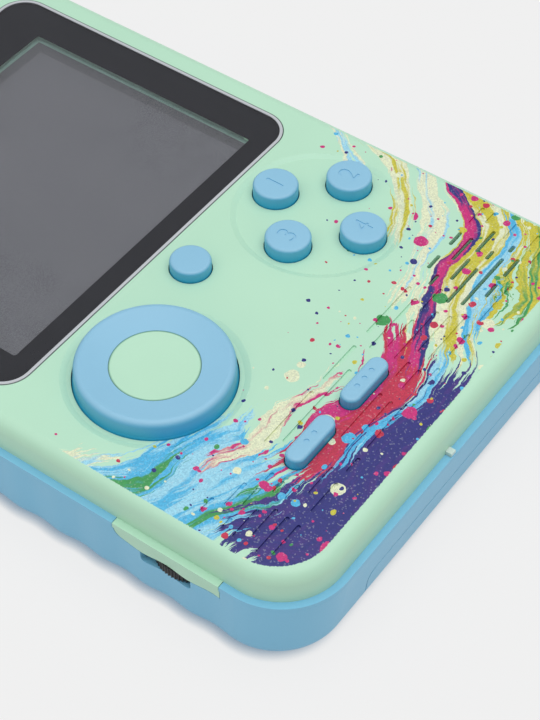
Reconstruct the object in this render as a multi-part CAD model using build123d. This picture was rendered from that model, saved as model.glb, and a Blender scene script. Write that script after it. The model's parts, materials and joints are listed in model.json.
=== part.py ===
from build123d import *
import math
import os

# Pocket game console lying on its back, in millimetres.
# +X is the console's right, +Y runs up the screen, +Z comes out of the face.
# The origin is the middle of the back, on the surface that it rests on.

# Case
body_width = 86.0
body_length = 129.0
case_height = 18.0
parting_height = 12.7
ledge_width = 1.2
ledge_corner = 11.45
rim_draft_angle = 4.5
rim_round = 2.2
case_wall = 1.7
face_wall = 1.8
back_wall = 1.6
back_round = 2.4
back_corner = 10.5
end_draft = 1.15
side_draft = 0.28
band_height = 0.9
tongue_depth = 1.2
tongue_thickness = 1.2
tongue_gap = 0.15
tongue_relief = 0.6
overrun = 5.0

# Wavy grips on the side walls
grip_count = 13
grip_depth_top = 0.3
grip_depth_back = 0.35
grip_wall = 2.28
points_per_grip = 4

# Skirt of the front half over the thumbwheel, on the left wall
skirt_from_end = 14.1
skirt_length = 18.9
skirt_drop = 2.95
skirt_gap = 0.1
skirt_corner = 1.7
wheel_slot_from_skirt = 5.0
wheel_slot_length = 9.0
wheel_slot_height = 2.05
wheel_slot_corner = 0.7

# Volume thumbwheel
wheel_radius = 6.1
wheel_thickness = 1.7
wheel_sink = 0.07
wheel_from_slot_end = 3.7
wheel_play = 0.2
wheel_shaft_radius = 1.45
wheel_bore_gap = 0.06
wheel_head_radius = 2.3
wheel_head_thickness = 0.5
knurl_count = 66
knurl_radius = 0.2
pot_width = 9.0
pot_reach_out = 2.2
pot_reach_in = 6.0

# Direction rocker
dpad_from_side = 22.39
dpad_from_end = 42.36
dpad_radius = 12.28
dpad_rise = 2.8
dpad_top_inset = 0.15
dpad_edge_round = 1.0
dpad_dish_drop = 0.8
dpad_gap = 0.2
dpad_cap_radius = 6.9
dpad_cap_thickness = 1.5
dpad_cap_gap = 0.06
dpad_cap_dish = 0.25
dpad_cap_peg_radius = 1.8
dpad_cap_peg_length = 1.4
dpad_pivot_rise = 1.6
dpad_ball_radius = 1.3
dpad_ball_gap = 0.05
dpad_flange_overlap = 1.35
dpad_flange_thickness = 0.7
dpad_flange_lift = 0.1
dpad_floor_lift = 0.3
dpad_nub_radius = 1.6
dpad_wall = 1.6
dpad_hub_radius = 3.6
dpad_web = 0.7
dpad_dome_ring = 8.5
dpad_seat_radius = 3.4
dpad_seat_drop = 0.3
dish_radius = 14.3
dish_depth = 0.35
dish_slope = 1.0

# Action buttons, reset and the two pills
action_from_side = 21.29
action_from_end = 42.21
action_offset = 8.55
action_radius = 3.72
action_rise = 2.05
action_round = 0.55
reset_from_end = 51.5
reset_radius = 3.32
reset_rise = 2.0
pill_radius = 1.63
pill_reach = 3.48
pill_rise = 1.95
pill_round = 0.6
pills_from_end = 15.87
start_from_centre = 4.42
select_from_centre = 18.27
button_gap = 0.17
flange_width = 0.8
flange_thickness = 0.8
flange_play = 0.05
stem_length = 0.8
lug_width = 1.4
lug_reach = 0.7

# Rubber membranes under the buttons
sheet_thickness = 0.5
sheet_border = 3.0
dome_play = 0.05
dome_foot_radius = 3.0
dome_head_radius = 1.9
small_dome_foot_radius = 2.2
small_dome_head_radius = 1.3

# Screen stack
bezel_from_side = 6.4
bezel_from_top = 11.1
bezel_from_end = 57.5
bezel_corner = 5.1
bezel_gap = 0.12
trim_width = 0.5
trim_proud = 0.05
lens_sink = 0.05
lens_thickness = 0.85
lens_gap = 0.04
mask_thickness = 0.15
screen_floor = 0.7
window_from_bezel_side = 6.75
window_from_bezel_low = 4.45
window_from_bezel_top = 9.85
window_corner = 0.5
aperture_gap = 0.3
active_inset_side = 1.05
active_inset_end = 1.45
glass_border = 3.2
glass_ledge = 4.5
glass_thickness = 1.5
glass_play = 0.05
tray_wall = 1.0
tray_depth = 0.9
tray_gap = 0.1
ribbon_width = 24.0
ribbon_thickness = 0.25
ribbon_run = 5.0
ribbon_reach = 2.2
connector_depth = 3.0
connector_height = 1.3

# Grooves and speaker slots in the lower face
row_count = 7
row_pitch = 2.11
last_row_from_end = 8.8
slot_width = 0.65
groove_depth = 0.3
face_span = 80.0
groove_spans_share = [
    [(-0.93, -0.85), (-0.54, -0.24), (-0.17, 0.04), (0.12, 0.42), (0.85, 0.96)],
    [(-0.855, -0.73), (-0.5, -0.07), (0.06, 0.38), (0.89, 0.96)],
    [(-0.94, -0.885), (-0.815, -0.72), (-0.68, -0.635), (0.1, 0.28), (0.33, 0.48)],
    [(-0.95, -0.8), (-0.71, -0.645), (0.07, 0.37), (0.855, 0.96)],
    [(-0.906, -0.76), (-0.707, -0.627), (-0.36, -0.1), (0.0, 0.09), (0.15, 0.38)],
    [(-0.955, -0.764), (-0.64, -0.49), (-0.42, -0.11), (-0.04, 0.08), (0.14, 0.42), (0.85, 0.955)],
    [(-0.93, -0.77), (-0.7, -0.54), (-0.48, -0.4), (-0.35, -0.09), (0.0, 0.13), (0.2, 0.34),
     (0.42, 0.65), (0.775, 0.92)],
]
speaker_spans_share = [
    [(0.543, 0.629), (0.702, 0.788)],
    [(0.471, 0.538), (0.637, 0.788)],
    [(0.543, 0.683), (0.729, 0.871)],
    [(0.43, 0.656), (0.718, 0.774)],
    [(0.452, 0.761), (0.804, 0.847)],
    [(0.543, 0.627), (0.678, 0.793)],
    [],
]

# Speaker
speaker_from_side = 17.0
speaker_from_end = 16.2
speaker_radius = 10.0
speaker_rim_width = 1.3
speaker_rim_height = 1.0
speaker_floor = 0.65
speaker_cone_gap = 0.15
speaker_cone_thickness = 0.3
speaker_cone_depth = 0.8
speaker_dust_radius = 2.6
speaker_basket_height = 1.5
speaker_magnet_radius = 5.6
speaker_magnet_height = 1.3
speaker_gap = 0.06
speaker_fence_gap = 0.2
speaker_fence_wall = 1.0
speaker_fence_height = 1.8
terminal_length = 3.2
terminal_width = 5.0
terminal_thickness = 0.6
wire_radius = 0.4
wire_span = 10.0
arc_share = 0.45
wire_points_share = [
    [(0, 0.11, 0), (-0.285, 0.17, 0.23), (-0.445, 0.45, 0.77), (-0.335, 0.74, 1), (-0.115, 0.87, 1)],
    [(0, -0.11, 0), (-0.355, -0.1, 0.23), (-0.645, 0.2, 0.77), (-0.635, 0.6, 1), (-0.415, 0.93, 1)],
]

# Main board
board_drop = 3.8
board_thickness = 1.2
board_side_gap = 2.0
board_end_gap = 0.8
board_corner = 3.0
board_notch_gap = 0.6
board_speaker_margin = 1.0
can_width = 24.0
can_length = 18.0
can_height = 1.8
can_wall = 0.2
can_from_centre = 14.0
can_from_end = 92.0
chip_height = 1.1
chip_play = 0.02
chip_places_share = [
    (0.25, 0.42, 0.1, 0.1),
    (0.55, 0.5, 0.12, 0.08),
    (0.5, 0.2, 0.06, 0.1),
    (0.15, 0.12, 0.05, 0.05),
    (-0.75, 0.6, 0.05, 0.08),
    (0.7, -0.12, 0.05, 0.05),
]

# Screws
shell_screw_from_side = 7.2
shell_screw_from_end = 7.3
middle_screw_from_side = 6.7
middle_screw_from_end = 54.0
shell_boss_radius = 2.8
shell_screw_radius = 0.9
shell_screw_clear = 0.2
shell_screw_head_radius = 1.8
shell_screw_head_height = 1.3
shell_screw_seat = 6.0
head_clear = 0.25
thread_gap = 0.05
screw_tip_gap = 0.3
front_boss_radius = 2.4
board_post_radius = 2.0
board_screw_radius = 0.75
board_screw_head_radius = 1.5
board_screw_head_height = 0.9
board_screw_from_side = 7.7
board_screw_from_top = 18.5
board_screw_low_from_centre = 6.0
board_screw_low_from_end = 28.5
board_screw_left_from_side = 13.0
board_screw_left_from_end = 11.0
cross_width = 0.5
cross_depth = 0.6
cross_share = 0.65

# Battery, its well and the sliding door
pack_width = 34.0
pack_length = 53.0
pack_height = 5.6
pack_corner = 1.2
pack_from_end = 4.2
pack_clear = 0.3
well_wall = 1.2
socket_width = 16.0
socket_depth = 2.5
contact_width = 1.5
contact_pitch = 4.0
contact_count = 3
door_width = 50.0
door_rail = 1.0
door_rail_web = 1.5
door_rail_height = 1.0
door_plate = 1.4
door_recess = 0.15
door_gap = 0.2
door_flange_height = 6.3
door_corner = 2.0
door_rib_count = 5
door_rib_pitch = 1.8
door_rib_length = 16.0
door_rib_width = 0.8
door_rib_depth = 0.4
door_rib_from_end = 6.0

# Openings and parts on the top edge
jack_from_side = 16.0
jack_nose_radius = 2.8
jack_bore_radius = 1.8
jack_bore_length = 12.0
jack_body_width = 6.6
jack_body_length = 10.0
pad_port_from_centre = 9.0
port_width = 8.94
port_height = 3.2
port_wall = 0.3
port_length = 7.4
port_tongue = 0.7
port_tongue_inset = 1.0
pad_port_width = 7.6
pad_port_height = 2.8
usb_from_centre = 9.0
port_sink = 0.35
port_clear = 0.2
switch_from_side = 16.0
switch_body_width = 9.6
switch_body_depth = 4.4
switch_body_height = 3.6
switch_travel = 2.2
switch_knob_width = 3.6
switch_knob_height = 2.2
switch_stem_width = 1.8
switch_stem_height = 1.2
switch_stem_depth = 2.0
switch_pocket_depth = 0.9
switch_pocket_width = 10.4
switch_pocket_height = 4.4
switch_play = 0.15
switch_knob_sink = 0.25
knob_ridge_count = 3
knob_ridge_depth = 0.3
knob_ridge_width = 0.4

# Light pipe in the parting line of the bottom wall
light_from_centre = 3.8
light_width = 1.1
light_height = 1.3
light_sink = 0.15
light_gap = 0.05
light_length = 4.6

# Places worked out from the sizes above
low_end = -body_length / 2
high_end = body_length / 2
left_side = -body_width / 2
face_under = case_height - face_wall
board_top = face_under - board_drop
board_under = board_top - board_thickness
front_width = body_width - 2 * ledge_width
front_length = body_length - 2 * ledge_width
front_corner = ledge_corner - ledge_width
cavity_width = body_width - 2 * (grip_wall + grip_depth_back - side_draft)
cavity_length = body_length - 2 * (end_draft + case_wall)
cavity_corner = back_corner - case_wall
skirt_low = low_end + skirt_from_end
skirt_high = skirt_low + skirt_length
skirt_bottom = parting_height - skirt_drop
slot_low = skirt_low + wheel_slot_from_skirt
slot_high = slot_low + wheel_slot_length
slot_bottom = skirt_bottom - wheel_slot_height
wheel_x = left_side + wheel_sink + wheel_radius
wheel_y = slot_low + wheel_from_slot_end
wheel_top = slot_bottom + wheel_play + wheel_thickness
dpad_x = left_side + dpad_from_side
dpad_y = low_end + dpad_from_end
dpad_pivot_z = board_top + dpad_pivot_rise
dpad_ball_reach = math.hypot(dpad_radius, case_height - dpad_pivot_z)
action_x = -left_side - action_from_side
action_y = low_end + action_from_end
reset_y = low_end + reset_from_end
pills_y = low_end + pills_from_end
bezel_low = low_end + bezel_from_end
bezel_width = body_width - 2 * bezel_from_side
bezel_length = body_length - bezel_from_end - bezel_from_top
window_width = bezel_width - 2 * window_from_bezel_side
window_length = bezel_length - window_from_bezel_low - window_from_bezel_top
active_width = window_width - 2 * active_inset_side
active_length = window_length - 2 * active_inset_end
bezel_y = bezel_low + bezel_length / 2
window_y = bezel_low + window_from_bezel_low + window_length / 2
screen_seat = face_under + screen_floor
sheet_bottom = board_top + chip_play
sheet_top = sheet_bottom + sheet_thickness
flange_top = face_under - flange_play
stem_bottom = flange_top - flange_thickness - stem_length
dome_top = stem_bottom - dome_play
speaker_x = -left_side - speaker_from_side
speaker_y = low_end + speaker_from_end
speaker_top = face_under - speaker_gap
speaker_rim_bottom = speaker_top - speaker_rim_height
speaker_bottom = speaker_rim_bottom - speaker_basket_height
pack_y = low_end + pack_from_end + pack_length / 2
pack_bottom = door_recess + door_plate + pack_clear
well_roof = pack_bottom + pack_height + pack_clear
well_end = pack_y + pack_length / 2 + pack_clear
door_end = well_end - pack_clear
port_top = board_under - chip_play
jack_x = left_side + jack_from_side
switch_x = -left_side - switch_from_side
inner_end = cavity_length / 2
tongue_inside = tongue_gap + tongue_thickness
glass_top = face_under - glass_play
glass_width = active_width + 2 * glass_border
glass_low = window_y - active_length / 2 - glass_border
glass_high = window_y + active_length / 2 + glass_ledge

shell_screw_places = [
    (side * (body_width / 2 - shell_screw_from_side), end * (body_length / 2 - shell_screw_from_end))
    for side in (-1, 1)
    for end in (-1, 1)
] + [
    (side * (body_width / 2 - middle_screw_from_side), low_end + middle_screw_from_end)
    for side in (-1, 1)
]
board_screw_places = [
    (left_side + board_screw_from_side, high_end - board_screw_from_top),
    (-left_side - board_screw_from_side, high_end - board_screw_from_top),
    (board_screw_low_from_centre, low_end + board_screw_low_from_end),
    (left_side + board_screw_left_from_side, low_end + board_screw_left_from_end),
]
action_places = {
    "button_top": (action_x, action_y + action_offset),
    "button_left": (action_x - action_offset, action_y),
    "button_right": (action_x + action_offset, action_y),
    "button_bottom": (action_x, action_y - action_offset),
}


def block(x_low, x_high, y_low, y_high, z_low, z_high):
    """Box between three pairs of limits."""
    middle = Pos((x_low + x_high) / 2, (y_low + y_high) / 2, (z_low + z_high) / 2)
    return middle * Box(x_high - x_low, y_high - y_low, z_high - z_low)


def disc(x, y, radius, z_low, z_high):
    """Upright round block."""
    return Pos(x, y, (z_low + z_high) / 2) * Cylinder(radius, z_high - z_low)


def rounded_block(x, y, width, length, corner, z_low, z_high):
    """Upright block with rounded corners."""
    outline = Pos(x, y, z_low) * RectangleRounded(width, length, corner)
    return extrude(outline, z_high - z_low)


def pill_block(x, y, reach, radius, z_low, z_high):
    """Upright block with two round ends, reach being half the distance between their centres."""
    outline = Pos(x, y, z_low) * SlotCenterToCenter(2 * reach, 2 * radius)
    return extrude(outline, z_high - z_low)


def cone(x, y, low_radius, high_radius, z_low, z_high):
    """Upright round block whose radius changes with height."""
    return Pos(x, y, (z_low + z_high) / 2) * Cone(low_radius, high_radius, z_high - z_low)


def lie_along_y(x, z, outline, y_low, y_high):
    """Solid with an upright outline, running along Y."""
    face = Plane(origin=(x, y_high, z), x_dir=(1, 0, 0), z_dir=(0, -1, 0)) * outline
    return extrude(face, y_high - y_low)


def wall_outline(width, length, corner, dip, height):
    """Rounded outline whose two long sides wave inwards by dip."""
    side = width / 2
    end = length / 2
    wave_end = end - corner
    steps = grip_count * points_per_grip
    wave = []
    for step in range(steps + 1):
        inward = dip * (1 - math.cos(2 * math.pi * step / points_per_grip)) / 2
        wave.append((side - inward, 2 * wave_end * step / steps - wave_end))
    mirrored = [(-x, -y) for x, y in wave]
    edges = [
        Spline(*wave, tangents=[(0, 1), (0, 1)]),
        CenterArc((side - corner, end - corner), corner, 0, 90),
        Line((side - corner, end), (corner - side, end)),
        CenterArc((corner - side, end - corner), corner, 90, 90),
        Spline(*mirrored, tangents=[(0, -1), (0, -1)]),
        CenterArc((corner - side, corner - end), corner, 180, 90),
        Line((corner - side, -end), (side - corner, -end)),
        CenterArc((side - corner, corner - end), corner, 270, 90),
    ]
    return Pos(0, 0, height) * Face(Wire(edges))


def rear_outer():
    """Solid outer form of the rear half, up to the parting line."""
    band_bottom = parting_height - band_height
    back_width = body_width - 2 * side_draft
    back_length = body_length - 2 * end_draft
    back = wall_outline(back_width, back_length, back_corner, grip_depth_back, 0)
    top = wall_outline(body_width, body_length, ledge_corner, grip_depth_top, band_bottom)
    wall = loft([back, top], ruled=True)
    wall = fillet(wall.edges().group_by(Axis.Z)[0], back_round)
    band = rounded_block(0, 0, body_width, body_length, ledge_corner, band_bottom, parting_height)
    return wall + band


rear_form = rear_outer()


def door_prism(gap):
    """Space that the battery door takes, grown by gap on its sides and its top."""
    plate = block(
        -(door_width / 2 - door_rail + gap),
        door_width / 2 - door_rail + gap,
        low_end - overrun,
        door_end + gap,
        -overrun,
        door_recess + door_plate + gap,
    )
    flange = block(
        -(door_width / 2 + gap),
        door_width / 2 + gap,
        low_end - overrun,
        gap - inner_end,
        -overrun,
        door_flange_height + gap,
    )
    corners = flange.edges().filter_by(Axis.Y).group_by(Axis.Z)[-1]
    return plate + fillet(corners, door_corner)


def skirt_space(gap):
    """Space of the skirt over the thumbwheel, grown by gap on its ends and its bottom."""
    space = block(
        left_side - overrun,
        -cavity_width / 2 + case_wall,
        skirt_low - gap,
        skirt_high + gap,
        skirt_bottom - gap,
        parting_height,
    )
    corner = space.edges().filter_by(Axis.X).group_by(Axis.Z)[0].sort_by(Axis.Y)[-1]
    return fillet(corner, skirt_corner)


def rear_shell():
    """Blue rear half with its grips, battery well, screw towers and openings."""
    shell = rear_form
    open_top = parting_height + overrun
    shell -= rounded_block(0, 0, cavity_width, cavity_length, cavity_corner, back_wall, open_top)

    for x, y in shell_screw_places:
        shell += disc(x, y, shell_boss_radius, back_wall / 2, parting_height)

    half_well = pack_width / 2 + pack_clear
    shell += block(
        -half_well - well_wall,
        half_well + well_wall,
        -inner_end,
        well_end + socket_depth + well_wall,
        back_wall / 2,
        well_roof + well_wall,
    )
    shell -= block(-half_well, half_well, -inner_end, well_end, back_wall / 2, well_roof)
    shell -= block(
        -socket_width / 2 - pack_clear,
        socket_width / 2 + pack_clear,
        well_end - overrun,
        well_end + socket_depth,
        back_wall,
        well_roof,
    )
    shell -= door_prism(door_gap)

    for x, y in shell_screw_places:
        shell -= disc(x, y, shell_screw_head_radius + head_clear, -overrun, shell_screw_seat)
        shell -= disc(x, y, shell_screw_radius + shell_screw_clear, 0, parting_height + overrun)

    shell -= skirt_space(skirt_gap)
    shell -= disc(wheel_x, wheel_y, wheel_radius + wheel_play, slot_bottom, skirt_bottom)
    wheel_slot = block(
        left_side - overrun,
        -cavity_width / 2 + case_wall,
        slot_low,
        slot_high,
        slot_bottom,
        parting_height,
    )
    slot_corners = wheel_slot.edges().filter_by(Axis.X).group_by(Axis.Z)[0]
    shell -= fillet(slot_corners, wheel_slot_corner)

    wall_inside = inner_end - tongue_inside
    jack_outline = Circle(jack_nose_radius + port_clear)
    shell -= lie_along_y(jack_x, port_top - jack_nose_radius, jack_outline, wall_inside, high_end + overrun)
    for x, width, height in (
        (-pad_port_from_centre, pad_port_width, pad_port_height),
        (usb_from_centre, port_width, port_height),
    ):
        outline = SlotOverall(width + 2 * port_clear, height + 2 * port_clear)
        shell -= lie_along_y(x, port_top - height / 2, outline, wall_inside, high_end + overrun)

    knob_z = port_top - switch_body_height / 2
    slide_middle = switch_x + switch_travel / 2
    shell -= block(
        slide_middle - switch_pocket_width / 2,
        slide_middle + switch_pocket_width / 2,
        high_end - switch_pocket_depth,
        high_end + overrun,
        knob_z - switch_pocket_height / 2,
        knob_z + switch_pocket_height / 2,
    )
    shell -= block(
        switch_x - switch_knob_width / 2 - switch_play,
        switch_x + switch_knob_width / 2 + switch_travel + switch_play,
        wall_inside,
        high_end + overrun,
        knob_z - switch_knob_height / 2 - switch_play,
        knob_z + switch_knob_height / 2 + switch_play,
    )
    shell -= light_prism(light_gap)
    return shell


def light_prism(gap):
    """Space of the light pipe, grown by gap on its sides."""
    return block(
        -light_from_centre - light_width / 2 - gap,
        -light_from_centre + light_width / 2 + gap,
        low_end + light_sink,
        low_end + light_sink + light_length,
        parting_height - light_height / 2 - gap,
        parting_height + light_height / 2 + gap,
    )


def spans_in(row_shares, depth_low, depth_high):
    """Round-ended cuts along X for every row of spans."""
    cuts = []
    for row, spans in enumerate(row_shares):
        y = low_end + last_row_from_end + (row_count - 1 - row) * row_pitch
        for start, end in spans:
            middle = (start + end) / 2 * face_span / 2
            reach = (end - start) / 2 * face_span / 2 - slot_width / 2
            cuts.append(pill_block(middle, y, reach, slot_width / 2, depth_low, depth_high))
    return cuts


def front_shell():
    """Mint front half with its recesses, holes, posts and the skirt."""
    outline = Pos(0, 0, parting_height) * RectangleRounded(front_width, front_length, front_corner)
    shell = extrude(outline, case_height - parting_height, taper=rim_draft_angle)
    shell = fillet(shell.edges().group_by(Axis.Z)[-1], rim_round)

    tongue_width = cavity_width - 2 * tongue_gap
    tongue_length = cavity_length - 2 * tongue_gap
    tongue_corner = cavity_corner - tongue_gap
    shell += rounded_block(
        0, 0, tongue_width, tongue_length, tongue_corner, parting_height - tongue_depth, parting_height
    )
    shell += rear_form & skirt_space(0)
    shell -= rounded_block(
        0,
        0,
        tongue_width - 2 * tongue_thickness,
        tongue_length - 2 * tongue_thickness,
        tongue_corner - tongue_thickness,
        skirt_bottom - overrun,
        face_under,
    )

    for x, y in shell_screw_places:
        shell -= disc(x, y, shell_boss_radius + tongue_relief, parting_height - tongue_depth, parting_height)
        shell += disc(x, y, front_boss_radius, parting_height, face_under + face_wall / 2)
    for x, y in board_screw_places:
        shell += disc(x, y, board_post_radius, board_top, face_under + face_wall / 2)
    fence_inside = speaker_radius + speaker_fence_gap
    fence_outside = fence_inside + speaker_fence_wall
    fence_low = face_under - speaker_fence_height
    fence = disc(speaker_x, speaker_y, fence_outside, fence_low, face_under + face_wall / 2)
    shell += fence - disc(speaker_x, speaker_y, fence_inside, fence_low, face_under)
    for x, y in shell_screw_places:
        shell -= disc(x, y, shell_screw_radius + thread_gap, parting_height - overrun, face_under)
    for x, y in board_screw_places:
        shell -= disc(x, y, board_screw_radius + thread_gap, board_top - overrun, face_under)

    shell -= rounded_block(
        0,
        bezel_y,
        bezel_width + 2 * bezel_gap,
        bezel_length + 2 * bezel_gap,
        bezel_corner + bezel_gap,
        screen_seat,
        case_height + overrun,
    )
    shell -= rounded_block(
        0,
        window_y,
        window_width + 2 * aperture_gap,
        window_length + 2 * aperture_gap,
        window_corner + aperture_gap,
        face_under - overrun,
        screen_seat + overrun,
    )

    for x, y in ((dpad_x, dpad_y), (action_x, action_y)):
        shell -= cone(x, y, dish_radius - dish_slope, dish_radius, case_height - dish_depth, case_height)
    ball = Pos(dpad_x, dpad_y, dpad_pivot_z) * Sphere(dpad_ball_reach + dpad_gap)
    shell -= ball & block(
        dpad_x - dish_radius,
        dpad_x + dish_radius,
        dpad_y - dish_radius,
        dpad_y + dish_radius,
        face_under,
        case_height + overrun,
    )
    low = face_under - overrun
    high = case_height + overrun
    for x, y in action_places.values():
        shell -= disc(x, y, action_radius + button_gap, low, high)
    shell -= disc(0, reset_y, reset_radius + button_gap, low, high)
    for x in (-start_from_centre, -select_from_centre):
        shell -= pill_block(x, pills_y, pill_reach, pill_radius + button_gap, low, high)

    for cut in spans_in(groove_spans_share, case_height - groove_depth, case_height + overrun):
        shell -= cut
    for cut in spans_in(speaker_spans_share, face_under - speaker_gap, case_height + overrun):
        shell -= cut
    shell -= light_prism(light_gap)
    return shell


def battery_door():
    """Sliding door: plate in the back, flange in the bottom wall, rails over the back's edges."""
    door = rear_form & door_prism(0)
    door -= block(-body_width, body_width, low_end - overrun, high_end, -overrun, door_recess)
    door -= block(-body_width, body_width, -inner_end, high_end, door_recess + door_plate, parting_height)
    plate_top = door_recess + door_plate
    rail_bottom = back_wall + door_recess
    rail_top = rail_bottom + door_rail_height
    half = door_width / 2
    for side in (-1, 1):
        inner = side * (half - door_rail - door_rail_web)
        edge = side * (half - door_rail)
        outer = side * half
        start = -inner_end - case_wall / 2
        door += block(min(inner, edge), max(inner, edge), start, door_end, plate_top, rail_top)
        door += block(min(edge, outer), max(edge, outer), start, door_end, rail_bottom, rail_top)
    for rib in range(door_rib_count):
        y = low_end + door_rib_from_end + rib * door_rib_pitch
        door -= pill_block(
            0,
            y,
            (door_rib_length - door_rib_width) / 2,
            door_rib_width / 2,
            door_recess - overrun,
            door_recess + door_rib_depth,
        )
    return door


def screen_trim():
    """Thin silver ring round the bezel."""
    top = case_height + trim_proud
    outer = rounded_block(0, bezel_y, bezel_width, bezel_length, bezel_corner, screen_seat, top)
    inside_width = bezel_width - 2 * trim_width
    inside_length = bezel_length - 2 * trim_width
    inside_corner = bezel_corner - trim_width
    inner = rounded_block(0, bezel_y, inside_width, inside_length, inside_corner, screen_seat, top)
    return outer - inner


def lens_blank(z_low, z_high):
    """Plate with the lens's outline."""
    inset = trim_width + lens_gap
    return rounded_block(
        0, bezel_y, bezel_width - 2 * inset, bezel_length - 2 * inset, bezel_corner - inset, z_low, z_high
    )


def screen_lens():
    """Clear plate over the screen."""
    top = case_height - lens_sink
    return lens_blank(top - lens_thickness, top)


def screen_mask():
    """Black film under the lens, open at the window."""
    top = case_height - lens_sink - lens_thickness
    film = lens_blank(top - mask_thickness, top)
    window = rounded_block(0, window_y, window_width, window_length, window_corner, top - mask_thickness, top)
    return film - window


def lcd_panel():
    """Liquid crystal glass."""
    half = glass_width / 2
    return block(-half, half, glass_low, glass_high, glass_top - glass_thickness, glass_top)


def lcd_tray():
    """Tray with the backlight, open at the top edge for the ribbon."""
    reach = tray_wall + tray_gap
    bottom = board_top + chip_play
    tray = block(
        -glass_width / 2 - reach,
        glass_width / 2 + reach,
        glass_low - reach,
        glass_high + reach,
        bottom,
        glass_top - glass_thickness + tray_depth,
    )
    tray -= block(
        -glass_width / 2 - tray_gap,
        glass_width / 2 + tray_gap,
        glass_low - tray_gap,
        glass_high + tray_gap,
        glass_top - glass_thickness - chip_play,
        glass_top,
    )
    tray -= block(
        -ribbon_width / 2 - tray_gap,
        ribbon_width / 2 + tray_gap,
        glass_high,
        glass_high + overrun,
        glass_top - glass_thickness - chip_play,
        glass_top,
    )
    return tray


def lcd_ribbon():
    """Flat tail from the glass, over the tray's edge and down to its connector."""
    half = ribbon_width / 2
    thick = ribbon_thickness
    bend = glass_high + tray_gap + tray_wall + ribbon_reach
    upper = glass_top - glass_thickness + thick
    lower = board_top + chip_play
    ribbon = block(-half, half, glass_high + chip_play, bend, upper, upper + thick)
    ribbon += block(-half, half, bend - thick, bend, lower, upper + thick)
    ribbon += block(-half, half, bend - thick, bend + ribbon_run - connector_depth, lower, lower + thick)
    return ribbon


def dpad_ring():
    """Blue rocker: dished skirt that stays clear of the hole at every tilt, flange and four nubs."""
    floor = dpad_pivot_z + dpad_floor_lift
    rim = case_height + dpad_rise
    top = rim - dpad_dish_drop
    skirt = Pos(0, 0, dpad_pivot_z) * Sphere(dpad_ball_reach)
    skirt &= disc(0, 0, dpad_ball_reach, floor, case_height)
    upper = cone(0, 0, dpad_radius, dpad_radius - dpad_top_inset, case_height, rim)
    upper = fillet(upper.edges().group_by(Axis.Z)[-1], dpad_edge_round)
    dish_reach = dpad_radius - dpad_top_inset - dpad_edge_round
    dish_lift = (dish_reach**2 - dpad_cap_radius**2 - dpad_dish_drop**2) / (2 * dpad_dish_drop)
    ring = skirt + upper
    ring -= Pos(0, 0, rim + dish_lift) * Sphere(math.hypot(dish_reach, dish_lift))
    flange_bottom = dpad_pivot_z + dpad_flange_lift
    flange_reach = dpad_radius + dpad_flange_overlap
    ring += disc(0, 0, flange_reach, flange_bottom, flange_bottom + dpad_flange_thickness)
    ring -= disc(0, 0, dpad_radius, flange_bottom, floor)
    hollow_top = top - dpad_cap_thickness - dpad_cap_peg_length - dpad_web
    hub = disc(0, 0, dpad_hub_radius, floor, hollow_top)
    ring -= disc(0, 0, dpad_radius - dpad_wall, floor, hollow_top) - hub
    for turn in range(4):
        place = Rot(0, 0, 90 * turn) * Pos(dpad_dome_ring, 0, 0)
        ring += place * disc(0, 0, dpad_nub_radius, dpad_pivot_z, hollow_top)
    ring -= disc(0, 0, dpad_cap_radius + dpad_cap_gap, top - dpad_cap_thickness, top + overrun)
    ring -= disc(
        0,
        0,
        dpad_cap_peg_radius + dpad_cap_gap,
        top - dpad_cap_thickness - dpad_cap_peg_length - dpad_cap_gap,
        top,
    )
    ring -= Pos(0, 0, dpad_pivot_z) * Sphere(dpad_ball_radius + dpad_ball_gap)
    return Pos(dpad_x, dpad_y, 0) * ring


def dpad_cap():
    """Mint disc with a shallow dish, pegged into the rocker."""
    top = case_height + dpad_rise - dpad_dish_drop
    bottom = top - dpad_cap_thickness + dpad_cap_gap
    cap = disc(0, 0, dpad_cap_radius, bottom, top)
    cap += disc(0, 0, dpad_cap_peg_radius, bottom - dpad_cap_peg_length, bottom)
    rim = dpad_cap_radius - dpad_cap_dish
    dish_curve = (rim**2 + dpad_cap_dish**2) / (2 * dpad_cap_dish)
    cap -= Pos(0, 0, top + dish_curve - dpad_cap_dish) * Sphere(dish_curve)
    return Pos(dpad_x, dpad_y, 0) * cap


def dpad_pivot():
    """Ball that the rocker tilts on."""
    return Pos(dpad_x, dpad_y, dpad_pivot_z) * Sphere(dpad_ball_radius)


def dpad_seat():
    """Cup on the board under the ball."""
    seat = disc(dpad_x, dpad_y, dpad_seat_radius, sheet_bottom, dpad_pivot_z - dpad_seat_drop)
    return seat - Pos(dpad_x, dpad_y, dpad_pivot_z) * Sphere(dpad_ball_radius + dpad_ball_gap)


def dome(x, y, foot_radius, head_radius, top):
    """Hollow rubber dome standing on its sheet."""
    return cone(x, y, foot_radius, head_radius, sheet_top - sheet_thickness / 2, top)


def dpad_membrane():
    """Rubber sheet with four domes round the pivot."""
    sheet = disc(0, 0, dpad_dome_ring + dome_foot_radius, sheet_bottom, sheet_top)
    for turn in range(4):
        place = Rot(0, 0, 90 * turn) * Pos(dpad_dome_ring, 0, 0)
        sheet += place * dome(0, 0, small_dome_foot_radius, small_dome_head_radius, dpad_pivot_z - dome_play)
    sheet -= disc(0, 0, dpad_seat_radius + sheet_thickness, sheet_bottom, sheet_top)
    return Pos(dpad_x, dpad_y, 0) * sheet


def action_membrane():
    """Rubber sheet with four domes in a diamond."""
    reach = action_offset + dome_foot_radius + sheet_border / 2
    sheet = disc(action_x, action_y, reach, sheet_bottom, sheet_top)
    for x, y in action_places.values():
        sheet += dome(x, y, dome_foot_radius, dome_head_radius, dome_top)
    return sheet


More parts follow.
